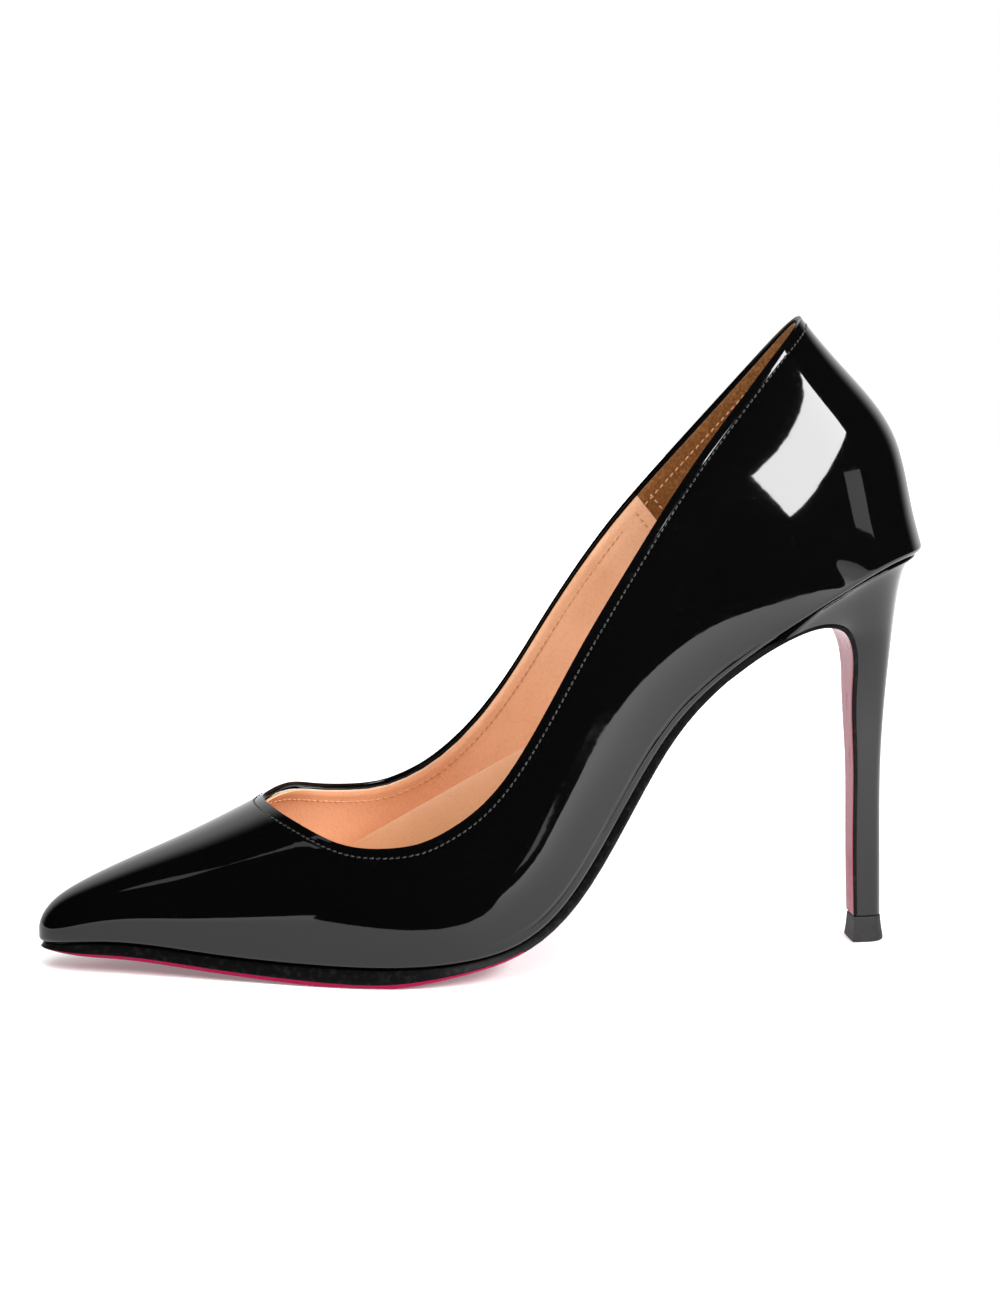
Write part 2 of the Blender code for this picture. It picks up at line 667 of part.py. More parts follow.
def make_pin_and_tip(block):
    """Steel tube up the stiletto, the top piece, and the dowel that holds it."""
    low = HEEL_BASE_Z + 0.3
    high = 62.0
    rings = [(PIN_BORE, low), (PIN_RADIUS, low), (PIN_RADIUS, high), (PIN_BORE, high)]
    tube("heel_pin", rings, "steel")
    hole = lathe("hole", (pin_x(5.0), 0), [(PIN_RADIUS + 0.2, 5.0), (PIN_RADIUS + 0.2, high + 0.4)],
                 "steel", lean=-0.003)
    cut(block, [hole])
    lift = top_piece()
    socket = lathe("socket", (pin_x(1.8), 0), [(0.95, 1.8), (0.95, 9.0)], "steel", lean=-0.003)
    cut(lift, [socket])
    lathe("top_piece_pin", (pin_x(2.0), 0), [(0.7, 2.0), (0.7, 20.0)], "steel", lean=-0.003,
          sides=12)


def tube(name, rings, colour, sides=16):
    turn = np.linspace(0, 2 * np.pi, sides, endpoint=False)
    points = []
    faces = []
    count = len(rings)
    for radius, z in rings:
        points.append(np.stack([pin_x(z) + radius * np.cos(turn), radius * np.sin(turn),
                                np.full(sides, z)], -1))
    for k in range(count):
        a = k * sides
        b = (k + 1) % count * sides
        for i in range(sides):
            j = (i + 1) % sides
            faces.append([a + i, a + j, b + j, b + i])
    return add_mesh(name, np.concatenate(points), faces, colour)


def top_piece():
    """Small wear block under the heel tip: flat front, round back, slightly flared."""
    turn = np.linspace(0, 1, 9)
    a = np.sin(turn * np.pi / 2)
    body = np.cos(turn * np.pi / 2) * np.sqrt(1 + a * a) * (1 - 0.06 * (1 - a) ** 2)
    levels = [(0, 199.6, 207.6, 4.55), (0.5, 199.2, 208, 4.85), (3, 199.4, 207.6, 4.55),
              (TOP_PIECE_HEIGHT, 199.7, 207.2, 4.3)]
    points = []
    faces = []
    n = len(a) * 2 - 1
    for k, (z, front, back, half) in enumerate(levels):
        x = front + (back - front) * a
        y = half * body
        loop_x = np.concatenate([x, x[-2::-1]])
        loop_y = np.concatenate([-y, y[-2::-1]])
        points.append(np.stack([loop_x, loop_y, np.full(n, float(z))], -1))
        if k:
            for i in range(n):
                j = (i + 1) % n
                faces.append([(k - 1) * n + i, (k - 1) * n + j, k * n + j, k * n + i])
    faces.append(list(range(n)))
    faces.append([(len(levels) - 1) * n + i for i in range(n)])
    return add_mesh("top_piece", np.concatenate(points), faces, "rubber")


def seat(x, lift):
    """Height and slope of a layer of the heel seat above x."""
    e = 0.1
    slope = float(spline(BED_LINE, x + e) - spline(BED_LINE, x - e)) / (2 * e)
    return float(spline(BED_LINE, x)) + lift * math.hypot(1, slope) , slope


def make_fixings(board, back, block):
    """Heel screw with its washer and four heel nails, driven upright through the seat."""
    board_cuts = []
    back_cuts = []
    block_cuts = []
    z, slope = seat(SCREW_X, BOARD_LIFT + BOARD_THICK)
    centre = (SCREW_X, 0)
    tubes = [(2.1, z + 0.15), (4.2, z + 0.15), (4.2, z + 0.5), (2.1, z + 0.5)]
    washer(centre, tubes, slope)
    lathe("heel_screw", centre, [(0.9, z - 25), (1.6, z - 23), (1.6, z + 0.58), (3.2, z + 0.62),
                                 (3.2, z + 1.15)], "steel", slope=slope)
    board_cuts.append(lathe("c1", centre, [(2.0, z - 8), (2.0, z + 6)], "steel"))
    block_cuts.append(lathe("c2", centre, [(1.9, z - 25.5), (1.9, z + 6)], "steel"))
    back_cuts.append(lathe("c3", centre, [(4.7, z - 8), (4.7, z + 8)], "steel"))
    for k, (x, y) in enumerate(NAILS):
        z, slope = seat(x, BOARD_LIFT + BOARD_THICK)
        lathe(f"heel_nail_{k + 1}", (x, y), [(0.3, z - 14), (0.8, z - 12.5), (0.8, z + 0.15),
                                             (1.7, z + 0.2), (1.7, z + 0.7)], "steel",
              slope=slope, sides=12)
        board_cuts.append(lathe("c4", (x, y), [(1.1, z - 8), (1.1, z + 6)], "steel", sides=12))
        block_cuts.append(lathe("c5", (x, y), [(1.1, z - 14.5), (1.1, z + 6)], "steel", sides=12))
        back_cuts.append(lathe("c6", (x, y), [(2.1, z - 8), (2.1, z + 8)], "steel", sides=12))
    cut(board, board_cuts)
    cut(back, back_cuts)
    cut(block, block_cuts)


def washer(centre, rings, slope, sides=20):
    turn = np.linspace(0, 2 * np.pi, sides, endpoint=False)
    points = []
    faces = []
    for radius, z in rings:
        points.append(np.stack([centre[0] + radius * np.cos(turn), centre[1] + radius * np.sin(turn),
                                z + slope * radius * np.cos(turn)], -1))
    for k in range(4):
        a = k * sides
        b = (k + 1) % 4 * sides
        for i in range(sides):
            j = (i + 1) % sides
            faces.append([a + i, a + j, b + j, b + i])
    return add_mesh("screw_washer", np.concatenate(points), faces, "steel")


def centre_all():
    """Put the middle of the shoe's footprint on the origin, standing on z = 0."""
    points = []
    for obj in bpy.context.scene.objects:
        points += [v.co.copy() for v in obj.data.vertices]
    low = [min(p[i] for p in points) for i in range(3)]
    high = [max(p[i] for p in points) for i in range(3)]
    for obj in bpy.context.scene.objects:
        for v in obj.data.vertices:
            v.co.x -= (low[0] + high[0]) / 2
            v.co.y -= (low[1] + high[1]) / 2
            v.co.z -= low[2]


for old in list(bpy.data.objects):
    bpy.data.objects.remove(old, do_unlink=True)
make_upper()
make_linings()
make_tape()
make_stiffeners()
insole, seat_board = make_bottom()
make_outsole()
heel = make_heel()
make_pin_and_tip(heel)
make_fixings(insole, seat_board, heel)
centre_all()
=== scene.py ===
import math

import bmesh
import bpy
import numpy as np
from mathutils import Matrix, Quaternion, Vector


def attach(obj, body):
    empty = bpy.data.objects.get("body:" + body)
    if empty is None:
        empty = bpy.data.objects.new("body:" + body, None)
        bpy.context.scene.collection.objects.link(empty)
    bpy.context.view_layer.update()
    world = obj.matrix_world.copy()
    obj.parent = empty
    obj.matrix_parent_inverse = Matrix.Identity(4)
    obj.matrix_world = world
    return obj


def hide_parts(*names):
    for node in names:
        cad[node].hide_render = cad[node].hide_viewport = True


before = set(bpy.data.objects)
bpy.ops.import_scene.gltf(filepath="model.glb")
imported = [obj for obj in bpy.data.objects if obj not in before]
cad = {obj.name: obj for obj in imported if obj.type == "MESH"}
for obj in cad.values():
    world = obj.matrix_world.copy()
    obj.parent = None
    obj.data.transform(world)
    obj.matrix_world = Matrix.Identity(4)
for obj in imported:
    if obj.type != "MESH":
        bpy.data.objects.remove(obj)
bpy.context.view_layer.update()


# ---- Upper ----------------------------------------------------------------
# One skin of black patent leather, closed by a seam at the back, lasted over
# the insole and turned under it.  Its top edge is folded over a tape into a
# narrow bead, with a row of stitches 2 mm below.

# The last it is pulled over: pointed toe, narrow waist, and a bed that climbs
# 95 mm from ball to heel.
MIDDLE_X = 105.9  # midway from toe to heel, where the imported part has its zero
TOE_X = -4.5
HEEL_X = 216.3
THROAT_X = 51.0

# edge of the bed in side view: x, z
BED_LINE = [(-4.5, 6.5), (12, 7.9), (35, 6.3), (62, 5.0), (82, 5.1), (98, 6.6), (111, 10.4),
            (122, 19), (134, 36), (147, 56.5), (162, 72), (179, 84.3), (197, 95.3), (208, 99.3),
            (216.3, 99.8)]
# x, tilt, half width at the bed, bulge half width, bulge height, crown half width,
# crown height, centre line offset
SECTIONS = [(-4.5, 0, 0, 0, 2, 0, 3, 3.5), (0, 0, 6.4, 7.6, 5, 5, 10.2, 3.4),
            (12, 0, 11.5, 13.5, 8, 10, 15.8, 3), (32, 0, 18.6, 22, 11, 16, 25.6, 2),
            (52, 0, 26.3, 31, 14, 23, 36.4, 1), (72, 2, 33.4, 38.5, 18, 28, 46, 0.3),
            (92, 10, 36.3, 42, 20, 29, 54, 0), (112, 22, 33, 41, 22, 29, 60, 0),
            (132, 34, 26, 38, 25, 26, 66, 0), (152, 40, 22, 34, 28, 20, 72, 0),
            (172, 38, 22.6, 31, 30, 14, 79, 0), (192, 34, 24.3, 28.5, 33, 11, 84, 0),
            (207, 31, 19, 21, 34, 9, 84, 0), (216.3, 30, 0, 0, 34, 0, 82, 0)]
BACK_BULGE = [(0, 0), (10, 2.6), (28, 7.6), (50, 4.8), (66, 1.8), (85, 0)]
# topline: x, height above the bed on the outer side and on the inner side
TOPLINE = [(58, 33, 37), (66, 30.1, 35.2), (77, 29.3, 33.4), (90, 30.5, 33.2), (105, 33.8, 35.7),
           (119, 35, 36.4), (134, 33.4, 33), (150, 33.6, 33), (165, 39, 38), (180, 46.7, 43.4),
           (195, 54, 49.6), (207, 60.4, 57.4), (216.3, 66, 66)]


def spline(knots, at):
    """Natural cubic through rows (x, y, ...): solve for the second derivatives, then blend."""
    k = np.array(knots, float)
    x, y = k[:, 0], k[:, 1:]
    n = len(x)
    step = np.diff(x)
    lhs, rhs = np.eye(n), np.zeros((n, y.shape[1]))
    for i in range(1, n - 1):
        lhs[i, i - 1:i + 2] = step[i - 1], 2 * (step[i - 1] + step[i]), step[i]
        rhs[i] = 6 * ((y[i + 1] - y[i]) / step[i] - (y[i] - y[i - 1]) / step[i - 1])
    m = np.linalg.solve(lhs, rhs)
    at = np.asarray(at, float)
    i = np.clip(np.searchsorted(x, at) - 1, 0, n - 2)
    d, s = (at - x[i])[..., None], step[i][..., None]
    out = y[i] + d * ((y[i + 1] - y[i]) / s - s * (2 * m[i] + m[i + 1]) / 6)
    out = out + d ** 2 * m[i] / 2 + d ** 3 * (m[i + 1] - m[i]) / (6 * s)
    return out[..., 0] if y.shape[1] == 1 else out


def station_x(t):
    """x = toe + length (1 - cos pi t) / 2, so stations crowd at both closed ends."""
    return TOE_X + (HEEL_X - TOE_X) * (1 - np.cos(np.pi * np.asarray(t, float))) / 2


def station(x):
    """The station at an x: the inverse of station_x."""
    share = (np.asarray(x, float) - TOE_X) / (HEEL_X - TOE_X)
    return np.arccos(np.clip(1 - 2 * share, -1, 1)) / np.pi


SECTION_KNOTS = np.array(SECTIONS, float)
SECTION_KNOTS[:, 0] = station(SECTION_KNOTS[:, 0])


def section(t):
    """The seven numbers that follow x in SECTIONS, at a station, each as an array."""
    return np.moveaxis(spline(SECTION_KNOTS, t), -1, 0)


def wall_height(v, bulge_height, crown_height):
    """Cubic Bezier height over the bed: 0, the bulge's, the crown's and the crown's again."""
    u = 1 - v
    return 3 * u * u * v * bulge_height + 3 * u * v * v * crown_height + v ** 3 * crown_height


def wall(t, v, side):
    """Outer face: a cubic Bezier in each tilted plane from bed edge (v 0) to crown (v 1)."""
    tilt, w0, w1, h1, w2, high, centre = section(t)
    u = 1 - v
    w = u ** 3 * w0 + 3 * u * u * v * w1 + 3 * u * v * v * w2
    h = wall_height(v, h1, high)
    angle = np.radians(tilt)
    x = station_x(t)
    rear = np.clip((t - 0.62) / 0.38, 0, 1)
    bulge = spline(BACK_BULGE, h) * rear * rear * (3 - 2 * rear)
    px = x - h * np.sin(angle) + bulge * np.cos(angle)
    pz = spline(BED_LINE, x) + h * np.cos(angle) + bulge * np.sin(angle)
    return np.stack([px, centre + side * w, pz], -1)


def wall_normal(t, v, side):
    """Outward normal from the cross product of small steps along and up the wall."""
    e = 2e-4
    along = wall(np.clip(t + e, 0, 1), v, side) - wall(np.clip(t - e, 0, 1), v, side)
    rise = wall(t, np.clip(v + e, 0, 1), side) - wall(t, np.clip(v - e, 0, 1), side)
    normal = np.cross(along, rise) * -side
    middle = (v > 1 - 1e-9) | (t < 1e-9) | (t > 1 - 1e-9)
    normal[..., 1] = np.where(middle, 0.0, normal[..., 1])
    normal[t < 1e-9] = (-1.0, 0.0, 0.0)
    return normal / (np.linalg.norm(normal, axis=-1, keepdims=True) + 1e-15)


def wall_in(t, v, side, depth):
    """The wall moved in along its normal by a depth."""
    t, v = np.broadcast_arrays(np.asarray(t, float), np.asarray(v, float))
    return wall(t, v, side) - wall_normal(t, v, side) * np.asarray(depth, float)[..., None]


def wall_share(t, height):
    """v at a height above the bed, by halving."""
    h1, high = section(t)[[3, 5]]
    low, top = np.zeros_like(height), np.ones_like(height)
    for _ in range(40):
        v = (low + top) / 2
        short = wall_height(v, h1, high) < height
        low, top = np.where(short, v, low), np.where(short, top, v)
    return (low + top) / 2


def topline(t, side, drop=0.0):
    """v of the topline, or of a line drop millimetres below it; 1 ahead of the throat."""
    start = THROAT_X - drop
    knots = [(start, float(section(station(start))[5]))]
    for row in TOPLINE:
        lean = max(0.0, 1 - (row[0] - 51) / 30)
        height = row[1 if side < 0 else 2] - drop * (1 - 0.35 * lean)
        knots.append((row[0] - 0.6 * drop * lean, height))
    x = station_x(t)
    height = spline(knots, np.maximum(x, start))
    return np.where(x <= start + 1e-6, 1.0, wall_share(t, height))


def bed(t, side, inset, lift):
    """Bottom of the last: in from its outline towards the centre line, lifted off it."""
    t, inset, lift = np.broadcast_arrays(np.asarray(t, float), inset, lift)
    x = station_x(t)
    part = section(t)
    edge_y = part[6] + side * part[1]
    toe = np.clip((60 - x) / (60 - TOE_X), 0, 1)
    heel = np.clip((x - 175) / (HEEL_X - 175), 0, 1)
    inner_x = x + 13 * toe ** 2 - 16 * heel ** 2
    way_x, way_y = inner_x - x, section(station(inner_x))[6] - edge_y
    share = np.minimum(inset / np.hypot(way_x, way_y), 1.0)
    px, py = x + way_x * share, edge_y + way_y * share
    e = 0.05
    slope = np.arctan((spline(BED_LINE, px + e) - spline(BED_LINE, px - e)) / (2 * e))
    pz = spline(BED_LINE, px)
    return np.stack([px - lift * np.sin(slope), py, pz + lift * np.cos(slope)], -1)


def lean_in(t, lift):
    """Extra inset at the toe and the heel, where the wall leans over the bed."""
    x = station_x(t)
    return (np.clip((x - 194) / 20, 0, 1) * 0.45 + np.clip((6 - x) / 10, 0, 1) * 0.3) * lift


def piece(name, grids, replaced=(), marks=None, sharp=60, fill=False):
    """One closed mesh from point grids whose meeting borders coincide.

    Each grid is rows by columns of points; marks are matching grids of a number kept on
    the points.  Doubles are merged, open loops filled if asked, and faces turned outward.
    """
    points, quads, start = [], [], 0
    for grid in grids:
        rows, cols = grid.shape[:2]
        r, c = np.meshgrid(np.arange(rows - 1), np.arange(cols - 1), indexing="ij")
        a = (start + r * cols + c).ravel()
        quads.append(np.stack([a, a + 1, a + cols + 1, a + cols], -1))
        points.append(grid.reshape(-1, 3))
        start += rows * cols
    co = (np.concatenate(points) - (MIDDLE_X, 0, 0)) * 0.001
    mesh = bpy.data.meshes.new(name)
    mesh.from_pydata(co.tolist(), [], np.concatenate(quads).tolist())
    if marks is not None:
        flat = np.concatenate([m.ravel() for m in marks]).astype(np.float32)
        mesh.attributes.new("mark", "FLOAT", "POINT").data.foreach_set("value", flat)
    bm = bmesh.new()
    bm.from_mesh(mesh)
    bmesh.ops.remove_doubles(bm, verts=bm.verts, dist=2e-6)
    if fill:
        loose = [edge for edge in bm.edges if edge.is_boundary]
        bmesh.ops.holes_fill(bm, edges=loose, sides=0)
    bmesh.ops.recalc_face_normals(bm, faces=bm.faces)
    if bm.calc_volume(signed=True) < 0:
        bmesh.ops.reverse_faces(bm, faces=bm.faces)
    bm.to_mesh(mesh)
    bm.free()
    mesh.shade_smooth()
    mesh.set_sharp_from_angle(angle=math.radians(sharp))
    obj = bpy.data.objects.new(name, mesh)
    bpy.context.scene.collection.objects.link(obj)
    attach(obj, "root")
    if replaced:
        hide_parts(*replaced)
    return obj


class Val:
    """A number or colour in a shader; arithmetic on numbers adds Math nodes."""

    def __init__(self, finish, socket):
        self.finish, self.socket = finish, socket

    def math(self, operation, first, second):
        return self.finish.node("Math", {"operation": operation}, {0: first, 1: second})

    def __add__(self, other):
        return self.math("ADD", self, other)

    __radd__ = __add__

    def __mul__(self, other):
        return self.math("MULTIPLY", self, other)

    __rmul__ = __mul__

    def __sub__(self, other):
        return self.math("SUBTRACT", self, other)

    def __rsub__(self, other):
        return self.math("SUBTRACT", other, self)

    def above(self, low, high):
        """0 below low, 1 above high, smooth between."""
        return self.finish.node("MapRange", {"interpolation_type": "SMOOTHSTEP"},
                                {0: self, 1: low, 2: high, 3: 0.0, 4: 1.0})


class Finish:
    """A material: one Principled shader and the nodes that vary it over the surface."""

    def __init__(self, name, **fixed):
        self.material = bpy.data.materials.new(name)
        self.material.use_nodes = True
        self.tree = self.material.node_tree
        self.shader = self.tree.nodes["Principled BSDF"]
        for key, value in fixed.items():
            socket = key.replace("_", " ").title().replace("Ior", "IOR")
            self.shader.inputs[socket].default_value = value
        self.place = self.node("TexCoord", out="Object")

    def node(self, kind, settings=None, sockets=None, out=0):
        made = self.tree.nodes.new("ShaderNode" + kind)
        for key, value in (settings or {}).items():
            setattr(made, key, value)
        for key, value in (sockets or {}).items():
            if isinstance(value, Val):
                self.tree.links.new(value.socket, made.inputs[key])
            else:
                made.inputs[key].default_value = value
        return Val(self, made.outputs[out])

    def stretch(self, scale):
        return self.node("Mapping", None, {0: self.place, 3: scale})

    def noise(self, scale, detail=2.0, place=None, rough=0.5):
        return self.node("TexNoise", None, {"Vector": place or self.place, "Scale": scale,
                                            "Detail": detail, "Roughness": rough})

    def cells(self, scale):
        return self.node("TexVoronoi", None, {"Vector": self.place, "Scale": scale})

    def mix(self, share, first, second):
        """Colour between two colours by a share."""
        def colour(c):
            return c if isinstance(c, Val) else (*c, 1)
        return self.node("Mix", {"data_type": "RGBA"},
                         {0: share, 6: colour(first), 7: colour(second)}, out=2)

    def mark(self):
        return self.node("Attribute", {"attribute_name": "mark"}, None, out="Fac")

    def bump(self, height, distance):
        return self.node("Bump", None, {"Height": height, "Distance": distance, "Strength": 1.0})

    def to(self, **values):
        for key, value in values.items():
            self.tree.links.new(value.socket, self.shader.inputs[key.replace("_", " ")])
        return self

    def on(self, *objects):
        for obj in objects:
            if not obj.material_slots:
                obj.data.materials.append(self.material)
            for place in obj.material_slots:
                place.material = self.material


# The upper itself, on that last.
LEATHER = 1.0        # thickness of the patent
LASTING_RADIUS = 1.3
FOLD = 0.75          # half the thickness of the folded top edge
STITCH_DROP = 2.3    # the stitches' distance below the fold


def rows(low_x, high_x, count, power=1.0):
    """Stations between two places; power above 1 crowds them at the rear one."""
    s = 1 - (1 - np.linspace(0, 1, count + 1)) ** power
    a, b = station(low_x), station(high_x)
    return a + (b - a) * s


def shoe_rows(fine=1.0):
    """Stations for the whole shoe, close together at the throat and the back seam."""
    n = lambda k: max(2, int(k * fine))
    parts = [rows(TOE_X, 42, n(50)), rows(42, THROAT_X, n(26), 1.5)]
    s = np.linspace(0, 1, n(26) + 1) ** 2
    parts.append(station(THROAT_X) + (station(56) - station(THROAT_X)) * s)
    parts += [rows(56, 200, n(110)), rows(200, HEEL_X, n(60), 1.8)]
    return np.concatenate([parts[0]] + [p[1:] for p in parts[1:]])


def near_line(points, line):
    """Distance from each point to a polyline, taken segment by segment in blocks."""
    a, d = line[:-1], np.diff(line, axis=0)
    size = np.sum(d * d, -1)
    flat = points.reshape(-1, 3)
    out = np.empty(len(flat))
    for i in range(0, len(flat), 2000):
        rel = flat[i:i + 2000, None] - a[None]
        k = np.clip(np.sum(rel * d, -1) / size, 0, 1)
        out[i:i + 2000] = np.sqrt(np.sum((rel - k[..., None] * d) ** 2, -1).min(1))
    return out.reshape(points.shape[:-1])


def rim_loop(drop, depth=0.0, count=500):
    """The closed line drop below the topline: near side back to the seam, far side forward.

    Returns its points, outward normals and unit tangents.
    """
    s = np.linspace(0, 1, count)
    start = station(THROAT_X - drop)
    t = start + (1 - start) * np.where(s < 0.15, s * s / 0.15 * 0.5, s - 0.075) / 0.925
    sides = []
    for side in (-1, 1):
        v = topline(t, side, drop)
        v[0] = 1.0
        sides.append((wall_in(t, v, side, np.full(t.shape, depth)), wall_normal(t, v, side)))
    path = np.concatenate([sides[0][0], sides[1][0][-2:0:-1]])
    normal = np.concatenate([sides[0][1], sides[1][1][-2:0:-1]])
    way = np.roll(path, -1, 0) - np.roll(path, 1, 0)
    return path, normal, way / np.linalg.norm(way, axis=-1, keepdims=True)


fine_rows = shoe_rows(1.0)
rim_points, _, _ = rim_loop(0.0)
rim_closed = np.concatenate([rim_points, rim_points[:1]])


def column_shares(near, far):
    """Shares of the way down the wall, near of them packed just under the rim."""
    return np.concatenate([np.linspace(0, 0.11, near, endpoint=False),
                           np.linspace(0.11, 0.92, far - 8, endpoint=False),
                           np.linspace(0.92, 1, 8)])


def upper_depth(points, side):
    """Bead at the fold, groove under the stitches, fine groove in a low swell at the seam."""
    away = near_line(points, rim_closed)
    bead = -0.02 * np.exp(-((away - 0.6) / 0.5) ** 2)
    groove = 0.08 * np.exp(-((away - STITCH_DROP) / 0.4) ** 2)
    seam = np.where(points[..., 0] > 150, 0.16 * np.exp(-(points[..., 1] / 0.28) ** 2), 0)
    swell = np.where(points[..., 0] > 150, -0.10 * np.exp(-(points[..., 1] / 1.5) ** 2), 0)
    return bead + groove + seam + swell


def upper_grids():
    """Outer skin, inner skin, the rolled fold between them and the cut edge underneath.

    The outer skin runs down the wall, round the lasting edge in a quarter circle and
    9.5 mm in under the last; the inner one is a leather's thickness in, more at the fold.
    """
    t = fine_rows[:, None]
    back = fine_rows >= station(THROAT_X) - 1e-9
    arc = np.radians(np.array([[10, 25, 40, 55, 70, 90]]))
    grids = []
    for side in (-1, 1):
        top = topline(fine_rows, side)[:, None]
        base = wall_share(fine_rows, np.full(fine_rows.shape, LASTING_RADIUS))[:, None]
        foot = np.minimum(base, 0.6 * top)
        v = top + (foot - top) * column_shares(14, 34)[None, :]
        tt = np.broadcast_to(t, v.shape)
        plain = wall(tt, v, side)
        height = wall_height(v, *section(tt)[[3, 5]])
        x = station_x(tt)
        waist = np.clip((x - 92) / 25, 0, 1) * np.clip((180 - x) / 10, 0, 1)
        line = 2.7 - 1.1 * np.clip((x - 140) / 34, 0, 1)
        crease = 0.3 * waist * np.exp(-((height - line) / 0.4) ** 2)
        depth = upper_depth(plain, side) + crease
        out = wall_in(tt, v, side, depth)
        corner = bed(t, side, LASTING_RADIUS * (1 - np.cos(arc)),
                     LASTING_RADIUS * (1 - np.sin(arc)))
        shift = out[:, -1:] - bed(t, side, 0.0, LASTING_RADIUS)
        corner = corner + shift * (1 - arc[..., None] / (np.pi / 2))
        inset = np.array([[3.0, 6.0, 9.5]])
        under = bed(t, side, inset, 0.0)
        outer = np.concatenate([out, corner, under], 1)
        low = np.minimum(base, 0.8 * top)
        v_in = top + (low - top) * column_shares(6, 16)[None, :]
        tt = np.broadcast_to(t, v_in.shape)
        away = near_line(wall(tt, v_in, side), rim_closed)
        thick = LEATHER + (2 * FOLD - LEATHER) * np.clip(1 - away / 4, 0, 1) ** 2
        into = wall_in(tt, v_in, side, thick)
        bend = bed(t, side, 1.1 + lean_in(t, 1.5), LEATHER)
        above = bed(t, side, inset, LEATHER)
        inner = np.concatenate([into, bend, above], 1)
        grids += [outer, inner, np.stack([outer[:, -1], inner[:, -1]], 1)]
        rim_out, rim_in = outer[back, 0], inner[back, 0]
        turn = np.linspace(0, np.pi, 9)[None, :, None]
        normal = wall_normal(fine_rows[back], top[back, 0], side)
        way = np.gradient(rim_out, axis=0)
        way[0] = (0.0, side, 0.0)
        way[-1] = (0.0, -side, 0.0)
        up = np.cross(normal, way) * side
        up /= np.linalg.norm(up, axis=-1, keepdims=True)
        centre = (rim_out + rim_in)[:, None] / 2
        arm = (rim_out - rim_in)[:, None] / 2
        roll = centre + arm * np.cos(turn) + up[:, None] * FOLD * 0.8 * np.sin(turn)
        grids.append(roll)
    return grids


upper = piece("upper_patent", upper_grids(), ["upper"], sharp=75)
patent = Finish("black_patent", specular_ior_level=0.36)
wave = patent.noise(22.0, 1.0)
ripple = patent.noise(140.0, 2.0)
dust = patent.noise(900.0, 3.0).above(0.62, 0.8)
scuff = patent.noise(60.0, 4.0, patent.stretch((1.0, 1.0, 9.0))).above(0.55, 0.85)
patent_normal = patent.bump(wave + ripple * 0.03, 0.0005)
patent.to(Base_Color=patent.mix(dust * 0.4, (0.0009, 0.0009, 0.001), (0.006, 0.006, 0.0065)),
          Roughness=0.035 + scuff * 0.05 + dust * 0.05, Normal=patent_normal)
patent.on(upper)


# ---- Stitching along the fold ---------------------------------------------
# A lock stitch in black thread round the whole opening, 1.6 mm to a stitch,
# pulled down into the patent so that each stitch is a small glossy bead.
def stitches(name, path, normal, way, pitch, size, slot, closed=True):
    """Beads laid along a path: each is a ring profile swept over a short arch.

    The centre goes along the path by pitch; radius falls to zero at both ends of a stitch.
    """
    end = 1 if closed else 0
    loop = np.concatenate([path, path[:end]])
    run = np.concatenate([[0], np.cumsum(np.linalg.norm(np.diff(loop, axis=0), axis=-1))])
    count = int(round(run[-1] / pitch))
    at = (np.arange(count) + 0.5) * run[-1] / count
    def sample(values):
        whole = np.concatenate([values, values[:end]])
        return np.stack([np.interp(at, run, whole[:, i]) for i in range(3)], -1)
    centre, up, along = sample(path), sample(normal), sample(way)
    along /= np.linalg.norm(along, axis=-1, keepdims=True)
    up /= np.linalg.norm(up, axis=-1, keepdims=True)
    across = np.cross(up, along)
    along = along + across * 0.12
    length, width, height = size
    s = np.linspace(-1, 1, 7)
    turn = np.linspace(0, 2 * np.pi, 7)
    girth = np.sqrt(np.maximum(1 - np.abs(s) ** 3, 0))
    grids = []
    rise = 0.10 * height * (1 - s * s)
    for c, u, a, b in zip(centre, up, along, across):
        spine = c + a * (s * length / 2)[:, None] + u * rise[:, None]
        ring = (np.cos(turn)[None, :, None] * b * width / 2
                + np.sin(turn)[None, :, None] * u * height / 2)
        grids.append(spine[:, None] + girth[:, None, None] * ring)
    return piece(name, grids, sharp=80)


TOP_STITCH = (1.3, 0.55, 0.5)    # length, width and height of one stitch
thread = stitches("topline_stitching", *rim_loop(STITCH_DROP, 0.1), 1.6, TOP_STITCH,
                  "patent_leather")
black_thread = Finish("waxed_black_thread", specular_ior_level=0.6)
twist = black_thread.node("TexWave", {"wave_type": "BANDS", "bands_direction": "DIAGONAL"},
                          {"Vector": black_thread.place, "Scale": 900.0, "Distortion": 0.5})
black_thread.to(Base_Color=black_thread.mix(twist, (0.004, 0.004, 0.004), (0.02, 0.02, 0.02)),
                Roughness=0.18 + twist * 0.15, Normal=black_thread.bump(twist, 0.00008))
black_thread.on(thread)


# ---- Lining ---------------------------------------------------------------
# Smooth tan leather inside the vamp and quarters, glued to the upper and
# trimmed just under the fold; round the heel a brown suede grip takes over.
LINING_THICK = 0.75
GRIP_X = 172.0               # where the suede starts, under a raised edge of tan leather
LINING_STITCH_DROP = 3.6     # below the fold
LINING_PITCH = 1.9


def lining_depth(t, v, side):
    """Deeper where the toe puff and the counter lie behind it, and near the bed."""
    x = station_x(t)
    below = np.clip((topline(t, side) - v) / 0.07, 0, 1)
    ends = np.maximum(np.clip((46 - x) / 10, 0, 1), np.clip((x - 140) / 8, 0, 1))
    deep = ends * np.where(x < THROAT_X - 6, 1.0, below)
    height = section(t)[5] * v
    deep = np.maximum(deep, np.clip((14 - height) / 10, 0, 1) * 0.6)
    return 1.85 + 0.55 * deep * deep * (3 - 2 * deep)


